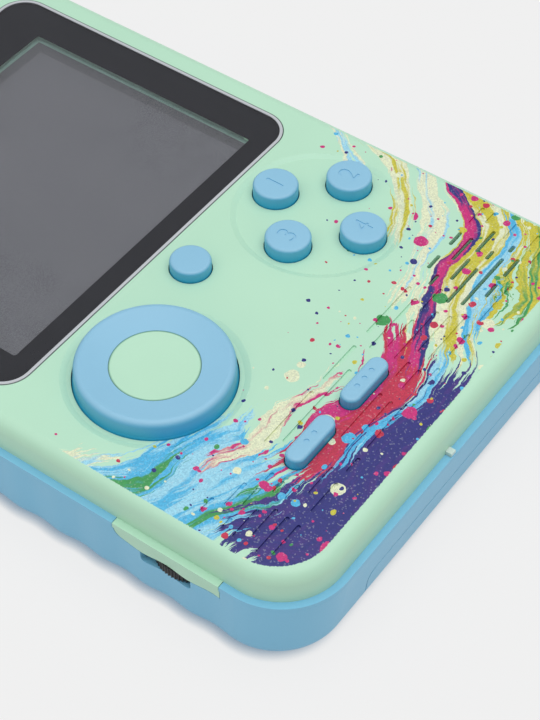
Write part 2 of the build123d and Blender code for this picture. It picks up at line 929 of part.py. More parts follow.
def menu_membrane():
    """Rubber sheet with two domes under the pills."""
    middle = -(start_from_centre + select_from_centre) / 2
    reach = (select_from_centre - start_from_centre) / 2
    border = small_dome_foot_radius + sheet_border / 2
    sheet = pill_block(middle, pills_y, reach, border, sheet_bottom, sheet_top)
    for x in (-start_from_centre, -select_from_centre):
        sheet += dome(x, pills_y, small_dome_foot_radius, small_dome_head_radius, dome_top)
    return sheet


def reset_membrane():
    """Round rubber sheet with one dome."""
    sheet = disc(0, reset_y, dome_foot_radius + sheet_border / 2, sheet_bottom, sheet_top)
    return sheet + dome(0, reset_y, dome_foot_radius, dome_head_radius, dome_top)


def round_button(x, y, radius, rise):
    """Round button with a flange under the face and a lug that stops it turning."""
    top = case_height + rise
    body = disc(0, 0, radius, stem_bottom, top)
    body = fillet(body.edges().group_by(Axis.Z)[-1], action_round)
    body += disc(0, 0, radius + flange_width, flange_top - flange_thickness, flange_top)
    reach = radius + flange_width + lug_reach
    body += block(0, reach, -lug_width / 2, lug_width / 2, flange_top - flange_thickness, flange_top)
    return Pos(x, y, 0) * body


def pill_button(x):
    """Pill-shaped button with a flange under the face."""
    top = case_height + pill_rise
    body = pill_block(x, pills_y, pill_reach, pill_radius, stem_bottom, top)
    body = fillet(body.edges().group_by(Axis.Z)[-1], pill_round)
    flange = pill_radius + flange_width
    body += pill_block(x, pills_y, pill_reach, flange, flange_top - flange_thickness, flange_top)
    return body


def main_board():
    """Circuit board with notches for the screw towers and room for the speaker."""
    width = cavity_width - 2 * (tongue_inside + board_side_gap)
    length = cavity_length - 2 * (tongue_inside + board_end_gap)
    board = rounded_block(0, 0, width, length, board_corner, board_under, board_top)
    for x, y in shell_screw_places:
        board -= disc(x, y, shell_boss_radius + board_notch_gap, board_under, board_top)
    fence = speaker_radius + speaker_fence_gap + speaker_fence_wall + board_speaker_margin
    board -= block(speaker_x - fence, body_width, low_end, speaker_y + fence, board_under, board_top)
    for x, y in board_screw_places:
        board -= disc(x, y, board_screw_radius + thread_gap, board_under, board_top)
    return board


def board_chips():
    """Packages and the ribbon's connector, soldered to the board."""
    chips = []
    top = board_under - chip_play
    for x_share, y_share, width_share, length_share in chip_places_share:
        x = x_share * body_width / 2
        y = y_share * body_length / 2
        half_w = width_share * body_width / 2
        half_l = length_share * body_width / 2
        chips.append(block(x - half_w, x + half_w, y - half_l, y + half_l, top - chip_height, top))
    tray_end = glass_high + tray_gap + tray_wall
    connector_y = tray_end + ribbon_reach + ribbon_run - connector_depth + chip_play
    bottom = board_top + chip_play
    chips.append(
        block(
            -ribbon_width / 2 - tray_wall,
            ribbon_width / 2 + tray_wall,
            connector_y,
            connector_y + connector_depth,
            bottom,
            bottom + connector_height,
        )
    )
    return Compound(children=[chip.solid() for chip in chips])


def chip_cover():
    """Shield can over the processor, open towards the board."""
    y = low_end + can_from_end
    top = board_under - chip_play
    can = block(
        -can_from_centre - can_width / 2,
        -can_from_centre + can_width / 2,
        y - can_length / 2,
        y + can_length / 2,
        top - can_height,
        top,
    )
    can -= block(
        -can_from_centre - can_width / 2 + can_wall,
        -can_from_centre + can_width / 2 - can_wall,
        y - can_length / 2 + can_wall,
        y + can_length / 2 - can_wall,
        top - can_height + can_wall,
        top,
    )
    return can


def speaker_frame():
    """Rim and basket of the speaker, with the tab for its wires."""
    frame = disc(0, 0, speaker_radius, speaker_rim_bottom, speaker_top)
    foot = speaker_magnet_radius + speaker_rim_width
    frame += cone(0, 0, foot, speaker_radius, speaker_bottom, speaker_rim_bottom)
    inner = speaker_radius - speaker_rim_width
    frame -= disc(0, 0, inner, speaker_rim_bottom, speaker_top)
    frame -= cone(0, 0, speaker_magnet_radius, inner, speaker_bottom + speaker_floor, speaker_rim_bottom)
    frame += block(
        -speaker_radius - terminal_length,
        -foot,
        -terminal_width / 2,
        terminal_width / 2,
        speaker_bottom,
        speaker_bottom + terminal_thickness,
    )
    return Pos(speaker_x, speaker_y, 0) * frame


def speaker_cone():
    """Paper cone with its flat surround and dust cap."""
    low = speaker_bottom + speaker_floor + speaker_cone_gap
    edge = low + speaker_cone_depth
    rim = speaker_radius - speaker_rim_width - chip_play
    throat = rim - speaker_rim_width
    thick = speaker_cone_thickness
    under = [(0, low), (speaker_dust_radius, low), (throat, edge), (rim, edge)]
    over = [(rim, edge + thick), (throat, edge + thick), (speaker_dust_radius, low + thick), (0, low + thick)]
    profile = Plane.XZ * make_face(Polyline(*under, *over, close=True))
    return Pos(speaker_x, speaker_y, 0) * revolve(profile, Axis.Z)


def speaker_magnet():
    """Magnet under the basket."""
    top = speaker_bottom - chip_play
    return disc(speaker_x, speaker_y, speaker_magnet_radius, top - speaker_magnet_height, top)


def wire_radii(points):
    """Wide arc that two runs leave room for, at each inner point."""
    radii = []
    for before, here, after in zip(points, points[1:], points[2:]):
        first = Vector(*here) - Vector(*before)
        second = Vector(*after) - Vector(*here)
        turn = math.radians(first.get_angle(second))
        radii.append(arc_share * min(first.length, second.length) / math.tan(turn / 2))
    return radii


def speaker_wires():
    """Two wires from the speaker's tab to the board."""
    tab_end = speaker_x - speaker_radius - terminal_length - thread_gap
    start_z = speaker_bottom + terminal_thickness / 2
    end_z = board_top + wire_radius + thread_gap
    wires = []
    for points_share in wire_points_share:
        points = [
            (tab_end + x * wire_span, speaker_y + y * wire_span, start_z + drop * (end_z - start_z))
            for x, y, drop in points_share
        ]
        radii = wire_radii(points)
        path = FilletPolyline(*points, radius=radii)
        start = Plane(origin=path @ 0, z_dir=path % 0)
        wire = sweep(start * Circle(wire_radius), path=path)
        print("wire length", round(path.length, 2), "radii", [round(r, 1) for r in radii])
        print("volume share", round(wire.volume / (math.pi * wire_radius**2 * path.length), 4))
        wires.append(wire.solid())
    return Compound(children=wires)


def volume_wheel():
    """Knurled thumbwheel."""
    bottom = slot_bottom + wheel_play
    wheel = disc(0, 0, wheel_radius, bottom, wheel_top)
    for knurl in range(knurl_count):
        place = Rot(0, 0, 360 * knurl / knurl_count) * Pos(wheel_radius, 0, 0)
        wheel -= place * disc(0, 0, knurl_radius, bottom, wheel_top)
    wheel -= disc(0, 0, wheel_shaft_radius + wheel_bore_gap, bottom, wheel_top)
    return Pos(wheel_x, wheel_y, 0) * wheel


def volume_base():
    """Potentiometer under the board, with the shaft and head that carry the wheel."""
    top = board_under - chip_play
    base = block(
        wheel_x - pot_reach_out,
        wheel_x + pot_reach_in,
        wheel_y - pot_width / 2,
        wheel_y + pot_width / 2,
        wheel_top + switch_play,
        top,
    )
    head_top = slot_bottom + wheel_play - wheel_bore_gap
    base += disc(wheel_x, wheel_y, wheel_shaft_radius, head_top - wheel_head_thickness, top)
    base += disc(wheel_x, wheel_y, wheel_head_radius, head_top - wheel_head_thickness, head_top)
    return base


def power_switch_body():
    """Case of the slide switch, open at the front for the slider's stem."""
    middle = switch_x + switch_travel / 2
    front = inner_end - switch_play
    body = block(
        middle - switch_body_width / 2,
        middle + switch_body_width / 2,
        front - switch_body_depth,
        front,
        port_top - switch_body_height,
        port_top,
    )
    stem_z = port_top - switch_body_height / 2
    body -= block(
        switch_x - switch_stem_width / 2 - switch_play,
        switch_x + switch_stem_width / 2 + switch_travel + switch_play,
        front - switch_stem_depth - switch_play,
        front,
        stem_z - switch_stem_height / 2 - switch_play,
        stem_z + switch_stem_height / 2 + switch_play,
    )
    return body


def power_slider():
    """Knob and stem of the slide switch."""
    x = switch_x
    z = port_top - switch_body_height / 2
    front = inner_end - switch_play
    knob_face = high_end - switch_knob_sink
    slider = block(
        x - switch_knob_width / 2,
        x + switch_knob_width / 2,
        front + 2 * switch_play,
        knob_face,
        z - switch_knob_height / 2,
        z + switch_knob_height / 2,
    )
    slider += block(
        x - switch_stem_width / 2,
        x + switch_stem_width / 2,
        front - switch_stem_depth,
        front + 2 * switch_play,
        z - switch_stem_height / 2,
        z + switch_stem_height / 2,
    )
    for ridge in range(knob_ridge_count):
        middle = x + (ridge - (knob_ridge_count - 1) / 2) * switch_knob_width / (knob_ridge_count + 1)
        slider -= block(
            middle - knob_ridge_width / 2,
            middle + knob_ridge_width / 2,
            knob_face - knob_ridge_depth,
            high_end,
            z - switch_knob_height / 2,
            z + switch_knob_height / 2,
        )
    return slider


def socket_port(x, width, height):
    """Flat socket under the board's top edge: a metal sleeve with a tongue inside."""
    mouth = high_end - port_sink
    z = port_top - height / 2
    sleeve = lie_along_y(x, z, SlotOverall(width, height), mouth - port_length, mouth)
    inside = SlotOverall(width - 2 * port_wall, height - 2 * port_wall)
    sleeve -= lie_along_y(x, z, inside, mouth - port_length + port_wall, mouth)
    half_tongue = width / 2 - port_wall - port_tongue_inset
    sleeve += block(
        x - half_tongue,
        x + half_tongue,
        mouth - port_length,
        mouth - port_tongue_inset,
        z - port_tongue / 2,
        z + port_tongue / 2,
    )
    return sleeve


def av_jack():
    """Round socket: a body under the board and a nose through the wall."""
    mouth = high_end - port_sink
    z = port_top - jack_nose_radius
    body_front = inner_end - switch_play
    jack = lie_along_y(jack_x, z, Circle(jack_nose_radius), body_front - jack_body_length / 2, mouth)
    jack += block(
        jack_x - jack_body_width / 2,
        jack_x + jack_body_width / 2,
        body_front - jack_body_length,
        body_front,
        z - jack_nose_radius,
        port_top,
    )
    jack -= lie_along_y(jack_x, z, Circle(jack_bore_radius), mouth - jack_bore_length, mouth)
    return jack


def battery_pack():
    """Flat rechargeable pack."""
    top = pack_bottom + pack_height
    return rounded_block(0, pack_y, pack_width, pack_length, pack_corner, pack_bottom, top)


def battery_socket():
    """Block that holds the contacts at the well's end."""
    return block(
        -socket_width / 2,
        socket_width / 2,
        well_end + chip_play,
        well_end + socket_depth - chip_play,
        back_wall + chip_play,
        well_roof - chip_play,
    )


def battery_contacts():
    """Spring blades between the socket and the pack."""
    blades = []
    for number in range(contact_count):
        x = (number - (contact_count - 1) / 2) * contact_pitch
        blade = block(
            x - contact_width / 2,
            x + contact_width / 2,
            well_end - pack_clear + chip_play,
            well_end,
            pack_bottom + contact_width,
            pack_bottom + pack_height - contact_width,
        )
        blades.append(blade.solid())
    return Compound(children=blades)


def charge_light():
    """Pale light pipe in the parting line."""
    return light_prism(0)


def screw(x, y, seat, radius, head_radius, head_height):
    """Screw driven upwards into the front half, with a cross recess in its head."""
    low = seat - head_height
    body = disc(x, y, radius, seat, face_under - screw_tip_gap)
    body += disc(x, y, head_radius, low, seat)
    arm = head_radius * cross_share
    half = cross_width / 2
    body -= block(x - arm, x + arm, y - half, y + half, low, low + cross_depth)
    body -= block(x - half, x + half, y - arm, y + arm, low, low + cross_depth)
    return body.solid()


def shell_screws():
    """Screws that hold the two halves together."""
    screws = [
        screw(x, y, shell_screw_seat, shell_screw_radius, shell_screw_head_radius, shell_screw_head_height)
        for x, y in shell_screw_places
    ]
    return Compound(children=screws)


def board_screws():
    """Screws that hold the board to the front half."""
    screws = [
        screw(x, y, board_under, board_screw_radius, board_screw_head_radius, board_screw_head_height)
        for x, y in board_screw_places
    ]
    return Compound(children=screws)


nodes = {
    "front_shell": front_shell(),
    "rear_shell": rear_shell(),
    "battery_door": battery_door(),
    "screen_trim": screen_trim(),
    "screen_lens": screen_lens(),
    "screen_mask": screen_mask(),
    "lcd_panel": lcd_panel(),
    "lcd_tray": lcd_tray(),
    "lcd_ribbon": lcd_ribbon(),
    "dpad_ring": dpad_ring(),
    "dpad_cap": dpad_cap(),
    "dpad_pivot": dpad_pivot(),
    "dpad_seat": dpad_seat(),
    "dpad_membrane": dpad_membrane(),
    "action_membrane": action_membrane(),
    "menu_membrane": menu_membrane(),
    "reset_membrane": reset_membrane(),
    "button_reset": round_button(0, reset_y, reset_radius, reset_rise),
    "button_start": pill_button(-start_from_centre),
    "button_select": pill_button(-select_from_centre),
    "main_board": main_board(),
    "chip_cover": chip_cover(),
    "board_chips": board_chips(),
    "speaker_frame": speaker_frame(),
    "speaker_cone": speaker_cone(),
    "speaker_magnet": speaker_magnet(),
    "speaker_wires": speaker_wires(),
    "volume_wheel": volume_wheel(),
    "volume_base": volume_base(),
    "power_switch_body": power_switch_body(),
    "power_slider": power_slider(),
    "usb_port": socket_port(usb_from_centre, port_width, port_height),
    "pad_port": socket_port(-pad_port_from_centre, pad_port_width, pad_port_height),
    "av_jack": av_jack(),
    "battery_pack": battery_pack(),
    "battery_socket": battery_socket(),
    "battery_contacts": battery_contacts(),
    "charge_light": charge_light(),
    "shell_screws": shell_screws(),
    "board_screws": board_screws(),
}
for name, (x, y) in action_places.items():
    nodes[name] = round_button(x, y, action_radius, action_rise)

for name, shape in nodes.items():
    export_step(shape, f"parts/{name}.step")
    print(name, len(shape.solids()), round(shape.volume, 1))
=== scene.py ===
import json
import math

import bmesh
import bpy
from mathutils import Matrix, Vector


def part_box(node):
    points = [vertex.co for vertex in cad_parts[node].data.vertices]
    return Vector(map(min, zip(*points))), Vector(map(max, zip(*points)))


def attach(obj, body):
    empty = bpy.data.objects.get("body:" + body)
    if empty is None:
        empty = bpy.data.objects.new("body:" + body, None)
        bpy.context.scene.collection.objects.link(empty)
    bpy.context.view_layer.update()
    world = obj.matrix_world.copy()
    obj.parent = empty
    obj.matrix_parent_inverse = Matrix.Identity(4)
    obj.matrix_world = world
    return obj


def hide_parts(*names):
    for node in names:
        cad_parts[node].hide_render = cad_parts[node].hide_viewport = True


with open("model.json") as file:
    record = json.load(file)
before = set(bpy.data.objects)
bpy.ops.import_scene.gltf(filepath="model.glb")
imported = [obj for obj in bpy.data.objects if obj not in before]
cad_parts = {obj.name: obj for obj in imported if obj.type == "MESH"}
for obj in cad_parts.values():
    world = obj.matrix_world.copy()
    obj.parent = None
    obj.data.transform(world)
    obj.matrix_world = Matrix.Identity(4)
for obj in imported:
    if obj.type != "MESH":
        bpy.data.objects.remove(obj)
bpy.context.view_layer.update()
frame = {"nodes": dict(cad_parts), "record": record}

MM = 0.001


def box_mm(node):
    """Lowest and highest corner of a node, in millimetres."""
    low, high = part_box(node)
    return low / MM, high / MM


def linear(hex_colour):
    """Linear colour of a hex colour."""
    levels = [int(hex_colour[i : i + 2], 16) / 255 for i in (0, 2, 4)]
    return tuple(c / 12.92 if c <= 0.04045 else ((c + 0.055) / 1.055) ** 2.4 for c in levels) + (1.0,)


# Camera, fitted to the photograph

CAMERA_PLACE = Vector((-166.02, -147.49, 237.17)) * MM
CAMERA_YAW = math.radians(35.67)
CAMERA_PITCH = math.radians(48.47)
CAMERA_ROLL = math.radians(-0.22)
CAMERA_LENS = 97.75
CAMERA_SENSOR = 36.0
CAMERA_NEAREST = 0.01
CAMERA_FARTHEST = 20.0


def make_camera():
    """Camera at the photograph's place."""
    forward = Vector(
        (
            math.cos(CAMERA_PITCH) * math.cos(CAMERA_YAW),
            math.cos(CAMERA_PITCH) * math.sin(CAMERA_YAW),
            -math.sin(CAMERA_PITCH),
        )
    )
    level_right = forward.cross(Vector((0, 0, 1))).normalized()
    level_down = forward.cross(level_right)
    right = math.cos(CAMERA_ROLL) * level_right + math.sin(CAMERA_ROLL) * level_down
    down = -math.sin(CAMERA_ROLL) * level_right + math.cos(CAMERA_ROLL) * level_down
    data = bpy.data.cameras.new("photo_camera")
    data.lens = CAMERA_LENS
    data.sensor_width = CAMERA_SENSOR
    data.sensor_fit = "AUTO"
    data.clip_start = CAMERA_NEAREST
    data.clip_end = CAMERA_FARTHEST
    camera = bpy.data.objects.new("photo_camera", data)
    turn = Matrix((right, -down, -forward)).transposed().to_4x4()
    camera.matrix_world = Matrix.Translation(CAMERA_PLACE) @ turn
    bpy.context.scene.collection.objects.link(camera)
    bpy.context.scene.camera = camera


make_camera()


# Node trees


class Tree:
    """Node tree of one material or node group, with short calls for its nodes."""

    def __init__(self, tree):
        self.tree = tree

    def node(self, kind, **values):
        made = self.tree.nodes.new(kind)
        for name, value in values.items():
            setattr(made, name, value)
        return made

    def link(self, source, target):
        self.tree.links.new(source, target)

    def put(self, target, value):
        """Links value to a socket, or sets it when it is a number or colour."""
        if isinstance(value, bpy.types.NodeSocket):
            self.link(value, target)
        elif value is not None:
            target.default_value = value

    def math(self, operation, a, b=None, clamp=False):
        made = self.node("ShaderNodeMath", operation=operation, use_clamp=clamp)
        self.put(made.inputs[0], a)
        self.put(made.inputs[1], b)
        return made.outputs[0]

    def vector_math(self, operation, a, b=None):
        made = self.node("ShaderNodeVectorMath", operation=operation)
        self.put(made.inputs[0], a)
        self.put(made.inputs[1], b)
        return made.outputs["Value"] if operation == "LENGTH" else made.outputs[0]

    def scale(self, vector, factor):
        made = self.node("ShaderNodeVectorMath", operation="SCALE")
        self.put(made.inputs[0], vector)
        self.put(made.inputs["Scale"], factor)
        return made.outputs[0]

    def rise(self, value, low, high, smooth=True):
        """0 below low and 1 above high."""
        made = self.node("ShaderNodeMapRange", interpolation_type="SMOOTHSTEP" if smooth else "LINEAR")
        self.put(made.inputs["Value"], value)
        self.put(made.inputs["From Min"], low)
        self.put(made.inputs["From Max"], high)
        return made.outputs["Result"]

    def fall(self, value, low, high):
        """1 below low and 0 above high."""
        return self.math("SUBTRACT", 1.0, self.rise(value, low, high))

    def spread(self, value, low, high, out_low, out_high):
        """Moves a value from one range to another, and keeps it there."""
        made = self.node("ShaderNodeMapRange")
        self.put(made.inputs["Value"], value)
        self.put(made.inputs["From Min"], low)
        self.put(made.inputs["From Max"], high)
        self.put(made.inputs["To Min"], out_low)
        self.put(made.inputs["To Max"], out_high)
        return made.outputs["Result"]

    def mix(self, factor, a, b, blend="MIX"):
        made = self.node("ShaderNodeMix", data_type="RGBA", blend_type=blend, clamp_factor=True)
        self.put(made.inputs[0], factor)
        self.put(made.inputs[6], a)
        self.put(made.inputs[7], b)
        return made.outputs[2]

    def noise(self, place, scale, detail=2.0, roughness=0.5, colour=False, dimensions="3D"):
        made = self.node("ShaderNodeTexNoise", noise_dimensions=dimensions)
        self.put(made.inputs["Vector"], place)
        self.put(made.inputs["Scale"], scale)
        self.put(made.inputs["Detail"], detail)
        self.put(made.inputs["Roughness"], roughness)
        return made.outputs["Color"] if colour else made.outputs[0]

    def cells(self, place, per_mm, randomness=1.0, distance="EUCLIDEAN"):
        """Cells scattered on a plane: the distance to the nearest middle, and a random colour for each."""
        made = self.node("ShaderNodeTexVoronoi", voronoi_dimensions="2D", feature="F1", distance=distance)
        self.put(made.inputs["Vector"], place)
        self.put(made.inputs["Scale"], per_mm)
        self.put(made.inputs["Randomness"], randomness)
        return made.outputs["Distance"], made.outputs["Color"]

    def object_mm(self):
        """Object coordinates in millimetres."""
        return self.scale(self.node("ShaderNodeTexCoord").outputs["Object"], 1 / MM)

    def upward(self):
        """How far a surface faces up, from -1 to 1."""
        return self.split(self.node("ShaderNodeNewGeometry").outputs["Normal"])[2]

    def split(self, vector):
        made = self.node("ShaderNodeSeparateXYZ")
        self.link(vector, made.inputs[0])
        return tuple(made.outputs)

    def join(self, x, y, z):
        made = self.node("ShaderNodeCombineXYZ")
        for socket, value in zip(made.inputs, (x, y, z)):
            self.put(socket, value)
        return made.outputs[0]

    def bands(self, value, stops):
        """Colour bands from (place, colour) stops, with hard edges."""
        made = self.node("ShaderNodeValToRGB")
        ramp = made.color_ramp
        ramp.interpolation = "CONSTANT"
        while len(ramp.elements) < len(stops):
            ramp.elements.new(0.5)
        for element, (place, colour) in zip(ramp.elements, stops):
            element.position = place
            element.color = colour
        self.link(value, made.inputs[0])
        return made.outputs[0]

    def use(self, group, values):
        """Places a node group with its inputs set by name."""
        made = self.node("ShaderNodeGroup")
        made.node_tree = group
        for name, value in values.items():
            self.put(made.inputs[name], value)
        return made.outputs


COLOUR = "NodeSocketColor"
NUMBER = "NodeSocketFloat"


def new_group(name, inputs, outputs):
    """Empty shader node group with typed sockets, its tree, and its input and output sockets."""
    group = bpy.data.node_groups.new(name, "ShaderNodeTree")
    for socket, kind, default in inputs:
        made = group.interface.new_socket(socket, in_out="INPUT", socket_type=kind)
        made.default_value = default
    for socket, kind in outputs:
        group.interface.new_socket(socket, in_out="OUTPUT", socket_type=kind)
    tree = Tree(group)
    entry = tree.node("NodeGroupInput").outputs
    leave = tree.node("NodeGroupOutput").inputs
    return group, tree, entry, leave


FINISHES = {}


def new_material(name):
    """Material with a Principled BSDF, kept in FINISHES by its name: its tree and its shader."""
    material = bpy.data.materials.new(name)
    material.use_nodes = True
    FINISHES[name] = material
    return Tree(material.node_tree), material.node_tree.nodes["Principled BSDF"]


def bump(t, height, strength, distance):
    """Normal from a height, with the distance in millimetres."""
    made = t.node("ShaderNodeBump")
    made.inputs["Strength"].default_value = strength
    made.inputs["Distance"].default_value = distance * MM
    t.link(height, made.inputs["Height"])
    return made.outputs[0]


# Skin of moulded plastic

NOISE_BAND = (0.3, 0.7)
CLOUD_PER_MM = 0.045
PALE_CLOUD = (1.025, 1.022, 1.02, 1)
DARK_CLOUD = (0.972, 0.976, 0.98, 1)
GRAIN_SHADE = (0.97, 0.97, 0.97, 1)
CLOUD_GLOSS = (-0.04, 0.05)
GRAIN_GLOSS = (-0.03, 0.03)
DUST_PER_MM = 2.6
DUST_BAND = (0.83, 0.86)
DUST = (0.30, 0.32, 0.32, 1)
DUST_COVER = 0.12
GRAIN_BUMP = 0.5
SCRATCH_DULLNESS = 0.16
SCRATCH_DEPTH_SHARE = 0.5

# Stretch, fineness and threshold of the hairlines that run across the case, and of those along it
HAIRLINES = [
    ((0.10, 2.6, 1.0), 1.7, 0.72),
    ((2.3, 0.12, 1.0), 1.9, 0.74),
]
HAIRLINE_BLUR = 0.05


def fine_scratches(t, place):
    """Mask of faint hairlines."""
    mask = 0.0
    for stretch, fineness, least in HAIRLINES:
        line = t.noise(t.vector_math("MULTIPLY", place, stretch), fineness, 1.0)
        mask = t.math("MAXIMUM", mask, t.rise(line, least, least + HAIRLINE_BLUR))
    return mask


def make_moulded():
    """Moulded plastic: colour and gloss that vary a little, a fine grain and faint scratches."""
    group, t, entry, leave = new_group(
        "moulded_skin",
        [
            ("Colour", COLOUR, (0.8, 0.8, 0.8, 1)),
            ("Gloss", NUMBER, 0.4),
            ("Grain size", NUMBER, 0.25),
            ("Wear", NUMBER, 0.5),
        ],
        [("Colour", COLOUR), ("Roughness", NUMBER), ("Height", NUMBER)],
    )
    place = t.object_mm()
    cloud = t.noise(place, CLOUD_PER_MM, 3.0)
    grain = t.noise(t.scale(place, t.math("DIVIDE", 1.0, entry["Grain size"])), 1.0, 2.0, 0.6)
    scratch = t.math("MULTIPLY", fine_scratches(t, place), entry["Wear"])
    shade = t.mix(t.spread(cloud, *NOISE_BAND, 0.0, 1.0), DARK_CLOUD, PALE_CLOUD)
    grainy = t.mix(1.0, shade, GRAIN_SHADE, "MULTIPLY")
    shade = t.mix(t.spread(grain, *NOISE_BAND, 0.0, 0.5), shade, grainy)
    colour = t.mix(1.0, entry["Colour"], shade, "MULTIPLY")
    dust = t.math("MULTIPLY", t.rise(t.noise(place, DUST_PER_MM, 0.0), *DUST_BAND), entry["Wear"])
    t.link(t.mix(t.math("MULTIPLY", dust, DUST_COVER), colour, DUST), leave["Colour"])
    rough = t.math("ADD", entry["Gloss"], t.spread(cloud, *NOISE_BAND, *CLOUD_GLOSS))
    rough = t.math("ADD", rough, t.spread(grain, *NOISE_BAND, *GRAIN_GLOSS))
    rough = t.math("ADD", rough, t.math("MULTIPLY", scratch, SCRATCH_DULLNESS), clamp=True)
    t.link(rough, leave["Roughness"])
    sunk = t.math("MULTIPLY", scratch, SCRATCH_DEPTH_SHARE)
    t.link(t.math("SUBTRACT", grain, sunk), leave["Height"])
    return group


moulded_skin = make_moulded()


def plastic(name, colour, gloss=0.4, grain=0.25, grain_depth=0.006, wear=0.5, finish=None):
    """Moulded plastic. finish may change its colour, from the tree and the plain colour; some finishes
    paint shade into it.
    """
    t, shader = new_material(name)
    skin = t.use(moulded_skin, {"Colour": colour, "Gloss": gloss, "Grain size": grain, "Wear": wear})
    shade = skin["Colour"]
    if finish:
        shade = finish(t, shade)
    t.link(shade, shader.inputs["Base Color"])
    t.link(skin["Roughness"], shader.inputs["Roughness"])
    t.link(bump(t, skin["Height"], GRAIN_BUMP, grain_depth), shader.inputs["Normal"])


# Print on the lower face: dry brush strokes on arcs round the screen, with round drops and glitter

FACE_Z = box_mm("front_shell")[1].z
FACE_SKIN = 0.5
FACE_BLUR = 0.05
PRINT_HALF_WIDTH = 39.98
PRINT_LOW = -60.74
PRINT_CORNER = 8.5
PRINT_EDGE_BLUR = 0.06
PRINT_EDGE_ROUGHNESS = 0.35
PRINT_EDGE_PER_MM = 3.2
PRINT_START_Y = -6.0
PRINT_FULL_Y = -13.0
ARC_CENTRE = (-6.0, 24.0, 0.0)
ARC_SCALE = 75.0
SWAY = 11.0
SWAY_PER_MM = 0.05
CURL = 1.2
CURL_PER_MM = 0.4
STREAK_PER_MM = (1.35, 0.055)
SHADE_PER_MM = (0.62, 0.05)
STROKE_ENTRY = 12.0
STROKE_EXIT = 22.0
STROKE_SHOULDER = 2.6
STROKE_SEED = 7.3
SHADE_SEED = 31.0
COVER_BLUR = 0.05
SHADE_BAND = (0.46, 0.56)
SKY = linear("4FB6E3")
PALE_SKY = linear("9AD6EC")
NAVY = linear("2C2E7C")
INDIGO = linear("3F2F7F")
MAGENTA = linear("CB2A7A")
CRIMSON = linear("C4304F")
OLIVE = linear("C9C23F")
LEAF = linear("3F9A55")
GLITTER = linear("E2E8C6")
MINT = linear("BCE7CC")
BLUE = linear("90C6E3")

# Middle radius, half width, first and last angle, paint and its two colours, in millimetres and degrees
STROKES = [
    (70.0, 13.0, -158, -96, 1.30, PALE_SKY, SKY),
    (58.0, 3.0, -150, -112, 0.85, GLITTER, PALE_SKY),
    (64.0, 2.6, -146, -104, 0.95, SKY, LEAF),
    (76.0, 2.6, -136, -96, 0.95, LEAF, SKY),
    (86.0, 11.0, -118, -74, 1.30, NAVY, INDIGO),
    (74.0, 5.5, -108, -70, 1.15, MAGENTA, CRIMSON),
    (80.0, 1.6, -104, -70, 0.85, SKY, PALE_SKY),
    (67.0, 1.6, -116, -78, 0.85, GLITTER, MAGENTA),
    (80.0, 7.5, -84, -36, 1.02, GLITTER, OLIVE),
    (89.0, 5.0, -78, -44, 1.00, OLIVE, LEAF),
    (84.0, 1.8, -84, -48, 0.80, SKY, PALE_SKY),
    (71.0, 2.6, -80, -24, 0.85, GLITTER, PALE_SKY),
    (76.0, 1.5, -88, -30, 1.10, MAGENTA, NAVY),
    (65.0, 3.4, -68, -18, 0.82, GLITTER, OLIVE),
    (59.0, 1.8, -58, -12, 0.70, GLITTER, PALE_SKY),
]

# Spacing and seed, how far from the arcs' centre drops start and are thickest, and the share left out there
DROPS = [
    (4.4, 3.0, 57.0, 80.0, 0.7),
    (2.5, 17.0, 54.0, 80.0, 0.66),
    (1.3, 41.0, 52.0, 78.0, 0.7),
]
DROP_PAINTS = [
    (0.0, MAGENTA),
    (0.34, CRIMSON),
    (0.46, NAVY),
    (0.62, SKY),
    (0.74, OLIVE),
    (0.84, GLITTER),
    (0.95, LEAF),
]
RAGGED_PER_MM = 0.9
RAGGED_BY = (0.45, 0.45, 0.0)
DROP_SHIFT = (1.0, 0.7, 0.0)
DROP_SCATTER = 0.75
DROP_SHARE = (0.07, 0.30)
DROP_BLUR = 0.02
FLAKES_PER_MM = 5.0
DARK_FLAKE = (0.80, 0.82, 0.86, 1)
PALE_FLAKE = (1.18, 1.18, 1.14, 1)
BRIGHT_FLAKE = (0.80, 0.86, 0.84, 1)
BRIGHT_FLAKE_START = 0.93
BRIGHT_FLAKE_COVER = 0.18
GLITTER_COVER = 0.8


def print_cover(t, x, y):
    """1 inside the printed field and 0 outside, with a slightly rough edge."""
    wander = t.math("SUBTRACT", t.noise(t.join(x, y, 0.0), PRINT_EDGE_PER_MM), 0.5)
    rough = t.math("MULTIPLY", wander, PRINT_EDGE_ROUGHNESS)
    across = t.math("SUBTRACT", t.math("ABSOLUTE", x), PRINT_HALF_WIDTH - PRINT_CORNER)
    along = t.math("SUBTRACT", PRINT_LOW + PRINT_CORNER, y)
    out = t.join(t.math("MAXIMUM", across, 0.0), t.math("MAXIMUM", along, 0.0), 0.0)
    reach = t.math("ADD", t.vector_math("LENGTH", out), rough)
    return t.fall(reach, PRINT_CORNER - PRINT_EDGE_BLUR, PRINT_CORNER + PRINT_EDGE_BLUR)


def streak_place(t, radius, along, per_mm, seed):
    """Place for a noise that is drawn out along the arcs."""
    return t.join(t.math("MULTIPLY", radius, per_mm[0]), t.math("MULTIPLY", along, per_mm[1]), seed)


